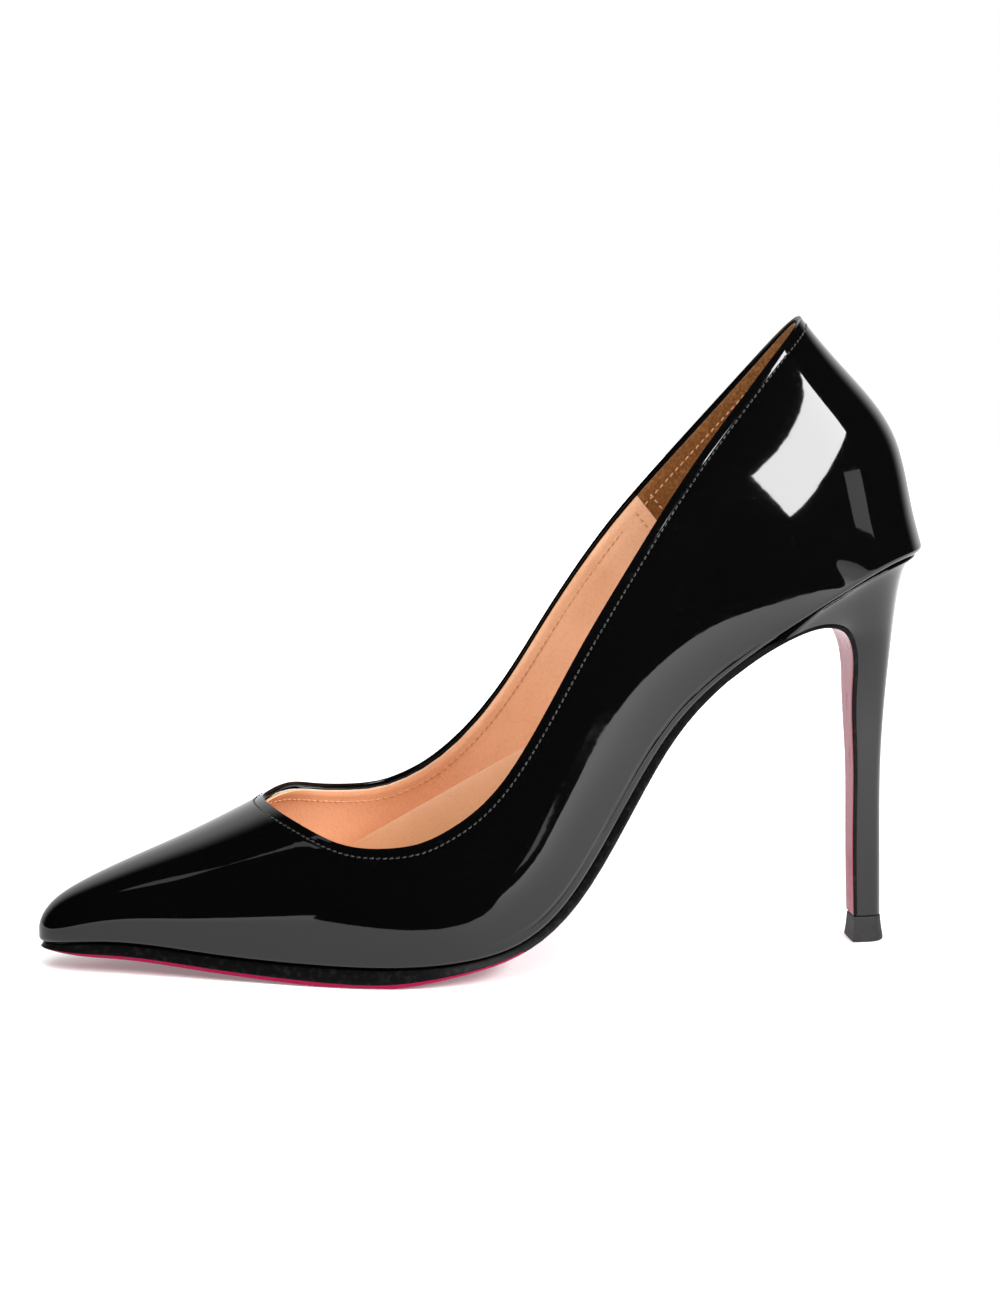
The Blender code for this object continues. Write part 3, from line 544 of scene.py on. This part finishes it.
def ripple_of(points, size, height):
    """Soft unevenness of glued leather: three crossed waves."""
    x, y, z = points[..., 0] / size, points[..., 1] / size, points[..., 2] / size
    return height * (np.sin(1.7 * x + 0.9 * z) * np.cos(1.3 * y - 0.7 * z)
                     + 0.6 * np.sin(2.9 * z - 1.1 * x + 2.0 * y))


def hems(outer, inner, first=0, ends=()):
    """Strips that close the gap between two matching grids along their edges."""
    strips = [np.stack([outer[first:, 0], inner[first:, 0]], 1),
              np.stack([outer[:, -1], inner[:, -1]], 1)]
    return strips + [np.stack([outer[row], inner[row]]) for row in ends]


def lining_grids(t, ends):
    """Outer and inner face from the trimmed top edge to the tuck under the sock."""
    grids = []
    for side in (-1, 1):
        top = topline(t, side, 0.7)[:, None]
        top = np.where(topline(t, side)[:, None] >= 1, 1.0, top)
        foot = np.minimum(wall_share(t, np.full(t.shape, 3.0)), 0.6)[:, None]
        v = top + (foot - top) * np.linspace(0, 1, 34)[None, :]
        tt = np.broadcast_to(t[:, None], v.shape)
        depth = lining_depth(tt, v, side)
        plain = wall(tt, v, side)
        away = near_line(plain, rim_closed)
        groove = -0.14 * np.exp(-((away - LINING_STITCH_DROP) / 0.4) ** 2)
        edge = np.clip((away - 0.7) / 0.7, 0, 1)
        soft = ripple_of(plain, 9.0, 0.07) * np.clip((away - 3) / 8, 0, 1)
        x = station_x(tt)
        lap = np.clip((x - GRIP_X + 8) / 4, 0, 1) * np.clip((GRIP_X + 0.01 - x) * 90, 0, 1)
        soft = soft + 0.4 * lap * lap * (3 - 2 * lap)
        out = wall_in(tt, v, side, depth - 0.05)
        thick = LINING_THICK * (0.35 + 0.65 * np.sqrt(edge))
        into = wall_in(tt, v, side, depth + thick + groove + soft)
        into[..., 1] = side * np.maximum(side * into[..., 1], 0.0) if t[0] > 0.8 else into[..., 1]
        low_out = bed(t, side, 2.5 + lean_in(t, 2.5), 1.3)[:, None]
        low_in = bed(t, side, 3.4 + lean_in(t, 2.5), 1.3 + LINING_THICK)[:, None]
        tuck_out = bed(t, side, 7.0, 1.3)[:, None]
        tuck_in = bed(t, side, 7.0, 1.3 + 0.7)[:, None]
        outer = np.concatenate([out, low_out, tuck_out], 1)
        inner = np.concatenate([into, low_in, tuck_in], 1)
        first = max(0, int(np.sum(top[:, 0] >= 1)) - 1)
        grids += [outer, inner] + hems(outer, inner, first, ends)
    return grids


lining_rows = np.append(fine_rows[station_x(fine_rows) < GRIP_X - 0.4][::2], station(GRIP_X))
lining = piece("lining_leather", lining_grids(lining_rows, [-1]), ["lining"])
grip_rows = np.concatenate([[station(GRIP_X + 0.02)],
                            fine_rows[station_x(fine_rows) > GRIP_X + 0.4][::2], [1.0]])
grip_rows = np.unique(grip_rows)
grip = piece("heel_grip_suede", lining_grids(grip_rows, [0]), ["heel_grip"])


def leather(name, light, dark):
    """Smooth calf: cloudy colour, pores a little darker than the skin between them."""
    made = Finish(name, specular_ior_level=0.35)
    grain, cloud, pore = made.cells(1500.0), made.noise(35.0, 3.0), made.noise(2200.0, 2.0)
    skin = made.mix(cloud.above(0.3, 0.75), light, dark)
    pores = tuple(0.7 * c for c in dark)
    return made.to(Base_Color=made.mix(grain.above(0.45, 0.9) * 0.2, skin, pores),
                   Roughness=0.42 + pore * 0.2,
                   Normal=made.bump(pore * 0.6 + grain * 0.4, 0.00012))


leather("tan_lining_leather", (0.78, 0.44, 0.265), (0.70, 0.37, 0.205)).on(lining)
suede = Finish("brown_suede", specular_ior_level=0.1, sheen_weight=0.2, sheen_roughness=0.5)
nap = suede.noise(1400.0, 4.0, rough=0.7)
patch = suede.noise(120.0, 3.0)
suede_colour = suede.mix(patch.above(0.3, 0.7), (0.24, 0.092, 0.02), (0.36, 0.155, 0.045))
suede.to(Base_Color=suede.mix(nap.above(0.35, 0.7), (0.15, 0.055, 0.014), suede_colour),
         Roughness=0.85 + nap * 0.15, Normal=suede.bump(nap, 0.0003))
suede.on(grip)
SEAM_STITCH = (1.35, 0.5, 0.4)
line = rim_loop(LINING_STITCH_DROP, 2.85)
seams = [stitches("lining_stitching", line[0], -line[1], line[2], LINING_PITCH, SEAM_STITCH,
                  "tan_leather")]
for name, side, place in (("outer", -1, -2.0), ("inner", 1, -2.0), ("outer_grip", -1, 2.0),
                          ("inner_grip", 1, 2.0)):
    t = np.full(60, float(station(GRIP_X + place)))
    v = np.linspace(float(topline(t[:1], side, 2.5)[0]), 0.16, 60)
    lift = LINING_THICK + (0.42 if place < 0 else 0.02)
    path = wall_in(t, v, side, lining_depth(t, v, side) + lift)
    seams.append(stitches(f"seam_stitching_{name}", path, -wall_normal(t, v, side),
                          np.gradient(path, axis=0), LINING_PITCH, SEAM_STITCH,
                          "tan_leather", closed=False))
tan_thread = Finish("brown_thread", specular_ior_level=0.4)
fuzz = tan_thread.noise(1800.0, 2.0)
tan_thread.to(Base_Color=tan_thread.mix(fuzz, (0.50, 0.24, 0.10), (0.72, 0.40, 0.20)),
              Roughness=0.5 + fuzz * 0.3, Normal=tan_thread.bump(fuzz, 0.00006))
tan_thread.on(*seams)


# ---- Sock -----------------------------------------------------------------
# A full length sock of tan leather glued over the foam and the shank board,
# its edge skived thin where it meets the lining.
def sock_grids():
    """Two faces between a skived rim and the centre line, slightly dished and uneven."""
    t = fine_rows[::2]
    share = np.linspace(0, 1, 16)
    grids = []
    for side in (-1, 1):
        edge = 4.4 + lean_in(t, 6.3)
        top_rim, low_rim = [bed(t, side, edge, lift)[:, None] for lift in (5.95, 5.6)]
        top_mid, low_mid = [bed(t, side, 1e3, lift)[:, None] for lift in (6.3, 5.6)]
        s = share[None, :, None]
        dish = 1 - (1 - np.clip(s * 8, 0, 1)) ** 2
        upper_face = top_rim + (top_mid - top_rim) * s
        upper_face[..., 2] += (0.35 * dish[..., 0] * (1 - s[..., 0]))
        upper_face[..., 2] += ripple_of(upper_face, 12.0, 0.06) * dish[..., 0]
        grids += [upper_face, low_rim + (low_mid - low_rim) * s]
    return grids


sock = piece("sock_leather", sock_grids(), ["sock_lining"], fill=True)
# Painted shade: the sock's tan is darker than the lining's, offsetting the stronger light on its
# upward face.
leather("tan_sock_leather_painted_shade", (0.58, 0.265, 0.13), (0.52, 0.225, 0.10)).on(sock)


# ---- Outsole --------------------------------------------------------------
# Leather sole cut to the edge of the upper: black inked edge, crimson lacquer
# underneath and on the bevel of the forepart; past the arch it is skived to a
# thin flap that is glued down the front of the heel.
SOLE_THICK = [(-4.5, 1.3), (4, 3.2), (14, 3.9), (40, 4.3), (58, 4.9), (78, 4.95), (90, 3.6),
              (102, 2.7), (114, 2.5), (126, 2.8), (140, 2.7), (152, 2.3), (165, 1.8)]
SOLE_INSET = [(-4.5, 0.3), (20, 0.3), (80, 0.4), (110, 1.2), (135, 2), (165, 2.2)]
# travel, x, z, thickness, half width, on the sole's upper face
BREAST_LINE = [(0, 165, 73.8, 2.0, 19.6), (10, 174, 79.2, 1.6, 19.2),
               (18, 181.6, 82.5, 1.5, 18.2), (26, 189.3, 83.6, 1.4, 15.6),
               (32, 194.9, 81.6, 1.3, 12.4),
               (38.5, 198.2, 76.2, 1.25, 9.2), (50.5, 199.1, 64.2, 1.2, 6.2),
               (67.5, 199.8, 47.3, 1.1, 4.9), (87.5, 200, 27.3, 1, 4.3),
               (108, 200.4, 6.7, 0.9, 4.2)]


def breast(s):
    """Sole line over the arch and down the heel: point, thickness, half width, normal."""
    ahead = [(a, x, float(spline(BED_LINE, x)) - 0.35) for a, x in ((-24, 144.9), (-12, 154.6))]
    path = ahead + [row[:3] for row in BREAST_LINE]
    e = 0.05
    way = spline(path, s + e) - spline(path, s - e)
    way /= np.linalg.norm(way, axis=-1, keepdims=True)
    rest = spline([(row[0], row[3], row[4]) for row in BREAST_LINE], s)
    return spline(path, s), rest[..., 0], rest[..., 1], np.stack([-way[..., 1], way[..., 0]], -1)


def sole_grids():
    """Rows from toe to heel tip; columns run top centre, edge, bevel, bottom centre."""
    # share of the way in from the edge, extra inset, share of the thickness, lacquer
    profile = [(1, 0, 0, 0), (0.6, 0, 0, 0), (0.25, 0, 0, 0), (0, 1.9, 0, 0), (0, 1.15, 0, 0),
               (0, 0.85, 0.03, 0), (0, 0.68, 0.1, 0), (0, 0.4, 0.32, 0), (0, 0.14, 0.55, 0),
               (0, 0.0, 0.66, 0), (0, 0.0, 0.69, 0), (0, 0.03, 0.71, 1), (0, 0.2, 0.84, 1),
               (0, 0.6, 0.94, 1),
               (0, 1.3, 0.97, 1), (0, 2.2, 1, 1), (0.25, 0, 1, 1), (0.6, 0, 1, 1), (1, 0, 1, 1)]
    t = fine_rows[station_x(fine_rows) < 162][::2]
    thick = spline(SOLE_THICK, station_x(t))
    rim = spline(SOLE_INSET, station_x(t))
    s = np.concatenate([np.linspace(2, 24, 16), np.linspace(25, 50, 34),
                        np.linspace(52, 107.9, 24)])
    place, flap, half, normal = breast(s)
    grids, marks = [], []
    for side in (-1, 1):
        centre = [bed(t, side, 1e3, -0.35 - thick * k) for k in (0, 1)]
        columns, rear, mark = [], [], []
        small = np.minimum(1.0, half / 16) * 0.4
        ease = 1 - 0.6 * np.clip((station_x(t) - 145) / 16, 0, 1)
        for inward, inset, deep, lacquer in profile:
            edge = bed(t, side, rim + inset * ease, -0.35 - thick * deep)
            mid = centre[0] + (centre[1] - centre[0]) * deep
            point = edge + (mid - edge) * inward
            point[..., 2] = np.maximum(point[..., 2], 0.0)
            columns.append(point)
            y = side * (half - inset * small) * (1 - inward)
            depth = flap * deep
            rear.append(np.stack([place[:, 0] - depth * normal[:, 0], y,
                                  place[:, 1] - depth * normal[:, 1]], -1))
            painted = (station_x(t) < 108) | (deep > 0.95)
            mark.append(lacquer * np.concatenate([painted, np.full(len(s), deep > 0.95)]))
        grids.append(np.concatenate([np.stack(columns, 1), np.stack(rear, 1)]))
        marks.append(np.stack(mark, 1))
    return grids, marks


sole_shape, sole_marks = sole_grids()
sole = piece("outsole_leather", sole_shape, ["outsole"], marks=sole_marks,
             sharp=50, fill=True)
lacquer = Finish("inked_edge_and_crimson_lacquer", specular_ior_level=0.08)
under = lacquer.mark().above(0.45, 0.55)
height = lacquer.node("SeparateXYZ", None, {0: lacquer.place}, out=2)
matt = height.above(0.03, 0.07)
speck = lacquer.noise(700.0, 3.0)
wear = lacquer.noise(90.0, 4.0, lacquer.stretch((1.0, 4.0, 1.0))).above(0.58, 0.8)
red = lacquer.mix(wear * 0.35, (0.24, 0.002, 0.038), (0.17, 0.004, 0.03))
ink = lacquer.mix(speck.above(0.5, 0.75) * 0.5, (0.002, 0.002, 0.002), (0.014, 0.013, 0.013))
lacquer.to(Base_Color=lacquer.mix(under, ink, red),
           Roughness=(1 - under) * (0.3 + speck * 0.16 + matt * 0.3) + under * (0.2 + wear * 0.25),
           Normal=lacquer.bump(speck * (1.2 - under), 0.00005))
lacquer.on(sole)


# ---- Heel -----------------------------------------------------------------
# A slim moulded stiletto wrapped in the same patent.  The cover is cut to the
# heel seat at the top, where it meets the upper in a dark joint line.
HEEL_LOFT = [(0, 108, 207.1, 6.7, 4.3), (0.2, 87.5, 206.8, 27.2, 4.3),
             (0.4, 67.5, 206.8, 47.5, 4.9), (0.57, 50.5, 207.8, 64.5, 6.3),
             (0.7, 38.5, 208.7, 76, 9.4), (0.81, 32, 209.5, 85, 13.4), (0.9, 26, 210.7, 92, 18.2),
             (0.96, 18, 212.9, 96.5, 21.9), (1, 9, 216, 99.4, 24.4)]


def heel_face(q, turn, side, inset):
    """Loft between the breast line and the back line; the half plan is a squared ellipse."""
    q, turn, inset = np.broadcast_arrays(q, turn, inset)
    loft = spline(HEEL_LOFT, q)
    place, _, _, normal = breast(loft[..., 0])
    front = place + normal * (0.05 + 0.6 * inset[..., None])
    back = loft[..., 1:3].copy()
    back[..., 0] -= inset
    a = np.sin(turn * np.pi / 2)
    body = np.cos(turn * np.pi / 2) * np.sqrt(1 + a * a) * (1 - 0.06 * (1 - a) ** 2)
    px = front[..., 0] + (back[..., 0] - front[..., 0]) * a
    pz = front[..., 1] + (back[..., 1] - front[..., 1]) * a
    seat = spline(HEEL_LOFT, 1.0)
    low, _, _, out = breast(seat[0])
    low = low + out * 0.25
    chord = low[1] + (px - low[0]) * (seat[2] - low[1]) / (seat[1] - inset - low[0])
    rise = np.clip((q - 0.78) / 0.22, 0, 1)
    taper = np.clip(a / 0.3, 0, 1)
    lift = rise * rise * (3 - 2 * rise) * taper * (2 - taper)
    pz = pz + lift * (spline(BED_LINE, px) - 0.35 - chord)
    return np.stack([px, side * (loft[..., 3] - inset) * body, pz], -1)


def cover_grids():
    """The heel's outer face and one 0.5 mm inside it, the top edge rolled in a quarter turn."""
    q = np.concatenate([np.linspace(0, 0.55, 30), np.linspace(0.56, 0.972, 56)])[:, None]
    arc = np.linspace(0, np.pi / 2, 8)[1:, None]
    inset = np.concatenate([q * 0, 1.6 * (1 - np.cos(arc))])
    q = np.concatenate([q, 0.972 + 0.017 * np.sin(arc)])
    turn = np.linspace(0, 1, 36)[None, :]
    grids = []
    for side in (-1, 1):
        out, into = heel_face(q, turn, side, inset), heel_face(q, turn, side, inset + 0.5)
        front, _, *ends = hems(out, into, 0, [0, -1])
        grids += [out, into, front] + ends
    return grids


cover = piece("heel_cover_patent", cover_grids(), ["heel_cover"])
patent.on(cover)


def core_grids():
    """The moulded core: the cover's own loft, 1.7 mm smaller all round, closed at both ends."""
    q = np.linspace(0.002, 0.968, 50)[:, None]
    turn = np.linspace(0, 1, 24)[None, :]
    near, far = [heel_face(q, turn, side, 1.7) for side in (-1, 1)]
    return [near, far, np.stack([near[:, 0], far[:, 0]], 1), np.stack([near[0], far[0]]),
            np.stack([near[-1], far[-1]])]


core = piece("heel_core_moulded", core_grids(), ["heel_block"], sharp=40)
moulded = Finish("moulded_heel_core", specular_ior_level=0.4)
flow = moulded.noise(80.0, 2.0)
moulded.to(Base_Color=moulded.mix(flow, (0.72, 0.69, 0.62), (0.60, 0.57, 0.50)),
           Roughness=0.4 + flow * 0.2, Normal=moulded.bump(flow, 0.0001))
moulded.on(core)


# ---- Top piece ------------------------------------------------------------
# The small black polyurethane lift under the heel tip, moulded on a steel
# dowel that is pressed into the tube in the heel.
def tip_grids():
    """Stacked D outlines: flat front, squared-ellipse back, flared towards the ground."""
    levels = [(0, 200.1, 207.1, 4.1), (0, 199.5, 207.7, 4.7), (0.18, 199.25, 207.95, 4.82),
              (0.55, 199.2, 208, 4.85), (1.6, 199.35, 207.8, 4.7), (3, 199.5, 207.55, 4.52),
              (5, 199.65, 207.3, 4.36), (6.05, 199.7, 207.2, 4.3), (6.3, 199.9, 207.05, 4.15),
              (6.35, 200.8, 206, 3.0)]
    a = np.sin(np.linspace(0, 1, 28) * np.pi / 2)
    body = np.sqrt(np.maximum(1 - a ** 4, 0)) * (1 - 0.06 * (1 - a) ** 2)
    across = np.linspace(-1, 1, 9)[1:-1]
    loops = []
    for z, front, back, half in levels:
        x = front + (back - front) * a
        loop_x = np.concatenate([x, x[-2::-1], np.full(7, front), [front]])
        loop_y = np.concatenate([-half * body, half * body[-2::-1],
                                 -across * half * body[0], [-half * body[0]]])
        loops.append(np.stack([loop_x, loop_y, np.full(len(loop_x), float(z))], -1))
    return [np.stack(loops)]


tip = piece("top_piece_lift", tip_grids(), ["top_piece"], sharp=40, fill=True)
rubber = Finish("black_polyurethane", specular_ior_level=0.2)
pit = rubber.noise(1500.0, 3.0)
rub = rubber.noise(300.0, 3.0)
rubber.to(Base_Color=rubber.mix(rub, (0.009, 0.009, 0.0095), (0.018, 0.018, 0.019)),
          Roughness=0.5 + pit * 0.2, Normal=rubber.bump(pit, 0.0001))
rubber.on(tip)


# ---- Parts inside ---------------------------------------------------------
# The stiffeners, boards, foam, filler and steel that the leather hides keep
# their own shapes and get the finish each one is bought in.
def plain_finish(name, low, high, scale, rough, bump=0.0001, stretch=(1, 1, 1), metal=0.0):
    """A finish whose colour, roughness and surface all follow one noise."""
    made = Finish(name, metallic=metal)
    noise = made.noise(scale, 4.0, made.stretch(stretch))
    made.to(Base_Color=made.mix(noise.above(0.3, 0.7), low, high),
            Roughness=rough + noise * 0.15, Normal=made.bump(noise, bump))
    return made


steel = plain_finish("drawn_steel", (0.45, 0.46, 0.48), (0.6, 0.61, 0.63), 400.0, 0.25,
                     stretch=(1, 1, 12), metal=1.0)
steel.on(*[cad[n] for n in ("shank", "heel_pin", "top_piece_pin", "heel_screw", "screw_washer",
                            "heel_nail_1", "heel_nail_2", "heel_nail_3", "heel_nail_4")])
plain_finish("insole_fibreboard", (0.42, 0.30, 0.19), (0.52, 0.39, 0.26), 700.0, 0.75).on(
    cad["insole_board"], cad["shank_board"])
plain_finish("stiffener_sheet", (0.66, 0.60, 0.48), (0.76, 0.70, 0.58), 500.0, 0.7).on(
    cad["toe_puff"], cad["heel_counter"])
plain_finish("cork_filler", (0.30, 0.17, 0.08), (0.50, 0.33, 0.18), 350.0, 0.85, 0.0004).on(
    cad["bottom_filler"])
plain_finish("latex_foam", (0.78, 0.72, 0.52), (0.88, 0.83, 0.65), 900.0, 0.9, 0.0003).on(
    cad["sock_foam"])
plain_finish("cotton_tape", (0.75, 0.75, 0.72), (0.88, 0.88, 0.86), 1200.0, 0.85, 0.0001,
             (1, 6, 1)).on(cad["topline_tape"])


# ---- Table, light and camera ----------------------------------------------
# A white table with a painted glow of its own, dim near the shoe and full white further
# out, its mirrored part cut to a curved front edge, in a studio that is white to the lens but
# dark, save behind, to everything else.
# The table's front part and two of the soft lamps give light but no mirror image.
def sheet(name, outline, mirrored=True):
    """A flat outline lying just under the shoe."""
    mesh = bpy.data.meshes.new(name)
    mesh.from_pydata([(x, y, -0.0002) for x, y in outline], [], [range(len(outline))])
    obj = bpy.data.objects.new(name, mesh)
    bpy.context.scene.collection.objects.link(obj)
    obj.visible_glossy = mirrored
    return obj


edge_x = np.linspace(-1, 1, 90)
edge_y = spline([(-1, -1.0), (-0.6, -0.7), (-0.3, -0.34), (-0.16, -0.18), (-0.05, -0.1),
                 (0.04, -0.13), (0.13, -0.26), (0.24, -0.34), (0.36, -0.62), (0.6, -1.05),
                 (1, -1.3)], edge_x)
front_edge = list(zip(edge_x.tolist(), edge_y.tolist()))
floor = sheet("table", front_edge + [(1.0, 0.9), (-1.0, 0.9)])
apron = sheet("table_front", front_edge[::-1] + [(-1.0, -1.3), (1.0, -1.3001)], mirrored=False)
white = Finish("white_table_painted_glow", roughness=0.6, specular_ior_level=0.1, emission_strength=1.0)
reach = white.node("VectorMath", {"operation": "LENGTH"},
                   {0: white.stretch((3.0, 4.0, 1.0))}, out=1)
# Painted glow: the table's emission is 0.2 near the shoe and rises to full white further out.
white.to(Emission_Color=white.mix(reach.above(0.5, 1.8), (0.2, 0.2, 0.2), (1.0, 1.0, 1.0)))
white.shader.inputs["Base Color"].default_value = (0.9, 0.89, 0.89, 1)
white.on(floor, apron)

world = bpy.data.worlds.new("studio")
bpy.context.scene.world = world
world.use_nodes = True
sky = world.node_tree
sky.nodes.clear()
output = sky.nodes.new("ShaderNodeOutputWorld")
seen, dark = sky.nodes.new("ShaderNodeBackground"), sky.nodes.new("ShaderNodeBackground")
seen.inputs[0].default_value = (1, 1, 1, 1)
seen.inputs[1].default_value = 1.0
toward = sky.nodes.new("ShaderNodeTexCoord")
split = sky.nodes.new("ShaderNodeSeparateXYZ")
sky.links.new(toward.outputs["Generated"], split.inputs[0])
behind = sky.nodes.new("ShaderNodeMapRange")
behind.interpolation_type = "SMOOTHSTEP"
sky.links.new(split.outputs[1], behind.inputs[0])
for socket, value in zip((1, 2, 3, 4), (0.35, 0.75, 0.012, 1.5)):
    behind.inputs[socket].default_value = value
sky.links.new(behind.outputs[0], dark.inputs[1])
choose, ray = sky.nodes.new("ShaderNodeMixShader"), sky.nodes.new("ShaderNodeLightPath")
sky.links.new(ray.outputs["Is Camera Ray"], choose.inputs[0])
sky.links.new(dark.outputs[0], choose.inputs[1])
sky.links.new(seen.outputs[0], choose.inputs[2])
sky.links.new(choose.outputs[0], output.inputs[0])


def softbox(name, azimuth, elevation, distance, size, power, roll=0.0, mirrored=True):
    """A rectangular lamp in a direction from the shoe, facing it, rolled in its own plane.

    Azimuth runs from the lens side towards the heel; mirrored lamps show in the patent.
    """
    lamp = bpy.data.lights.new(name, "AREA")
    lamp.shape, lamp.size, lamp.size_y, lamp.energy = "RECTANGLE", size[0], size[1], power
    obj = bpy.data.objects.new(name, lamp)
    bpy.context.scene.collection.objects.link(obj)
    az, el = math.radians(azimuth), math.radians(elevation)
    way = Vector((math.sin(az) * math.cos(el), -math.cos(az) * math.cos(el), math.sin(el)))
    obj.location = Vector((0.05, 0.0, 0.1)) + way * distance
    obj.rotation_mode = "QUATERNION"
    spin = Quaternion((0, 0, 1), math.radians(roll))
    obj.rotation_quaternion = way.to_track_quat("Z", "Y") @ spin
    obj.visible_glossy = mirrored
    obj.visible_camera = False
    return obj


softbox("overhead", 0, 75, 1.2, (1.4, 1.4), 14, mirrored=False)
softbox("strip_softbox", 30.5, 24.3, 0.49, (0.46, 0.115), 4.5, roll=31)
softbox("fill", -20, 45, 1.2, (0.9, 0.9), 12, mirrored=False)
softbox("dim_panel", -68, 46, 1.2, (0.18, 0.16), 0.12)
softbox("side_panel", 50, 11, 1.2, (0.3, 0.25), 0.42)

AZIMUTH, ELEVATION, DISTANCE = -9.5, 10.0, 1.2
aim = np.array([0.0041, 0.0, 0.0765])
az, el = math.radians(AZIMUTH), math.radians(ELEVATION)
eye = aim + DISTANCE * np.array([math.sin(az) * math.cos(el), -math.cos(az) * math.cos(el),
                                 math.sin(el)])
lens = bpy.data.cameras.new("camera")
lens.sensor_fit, lens.sensor_height, lens.lens = "VERTICAL", 36.0, 134.6
camera = bpy.data.objects.new("camera", lens)
bpy.context.scene.collection.objects.link(camera)
camera.location = eye
camera.rotation_euler = (math.pi / 2 - el, 0, az)
bpy.context.scene.camera = camera
bpy.context.scene.view_settings.view_transform = "Standard"
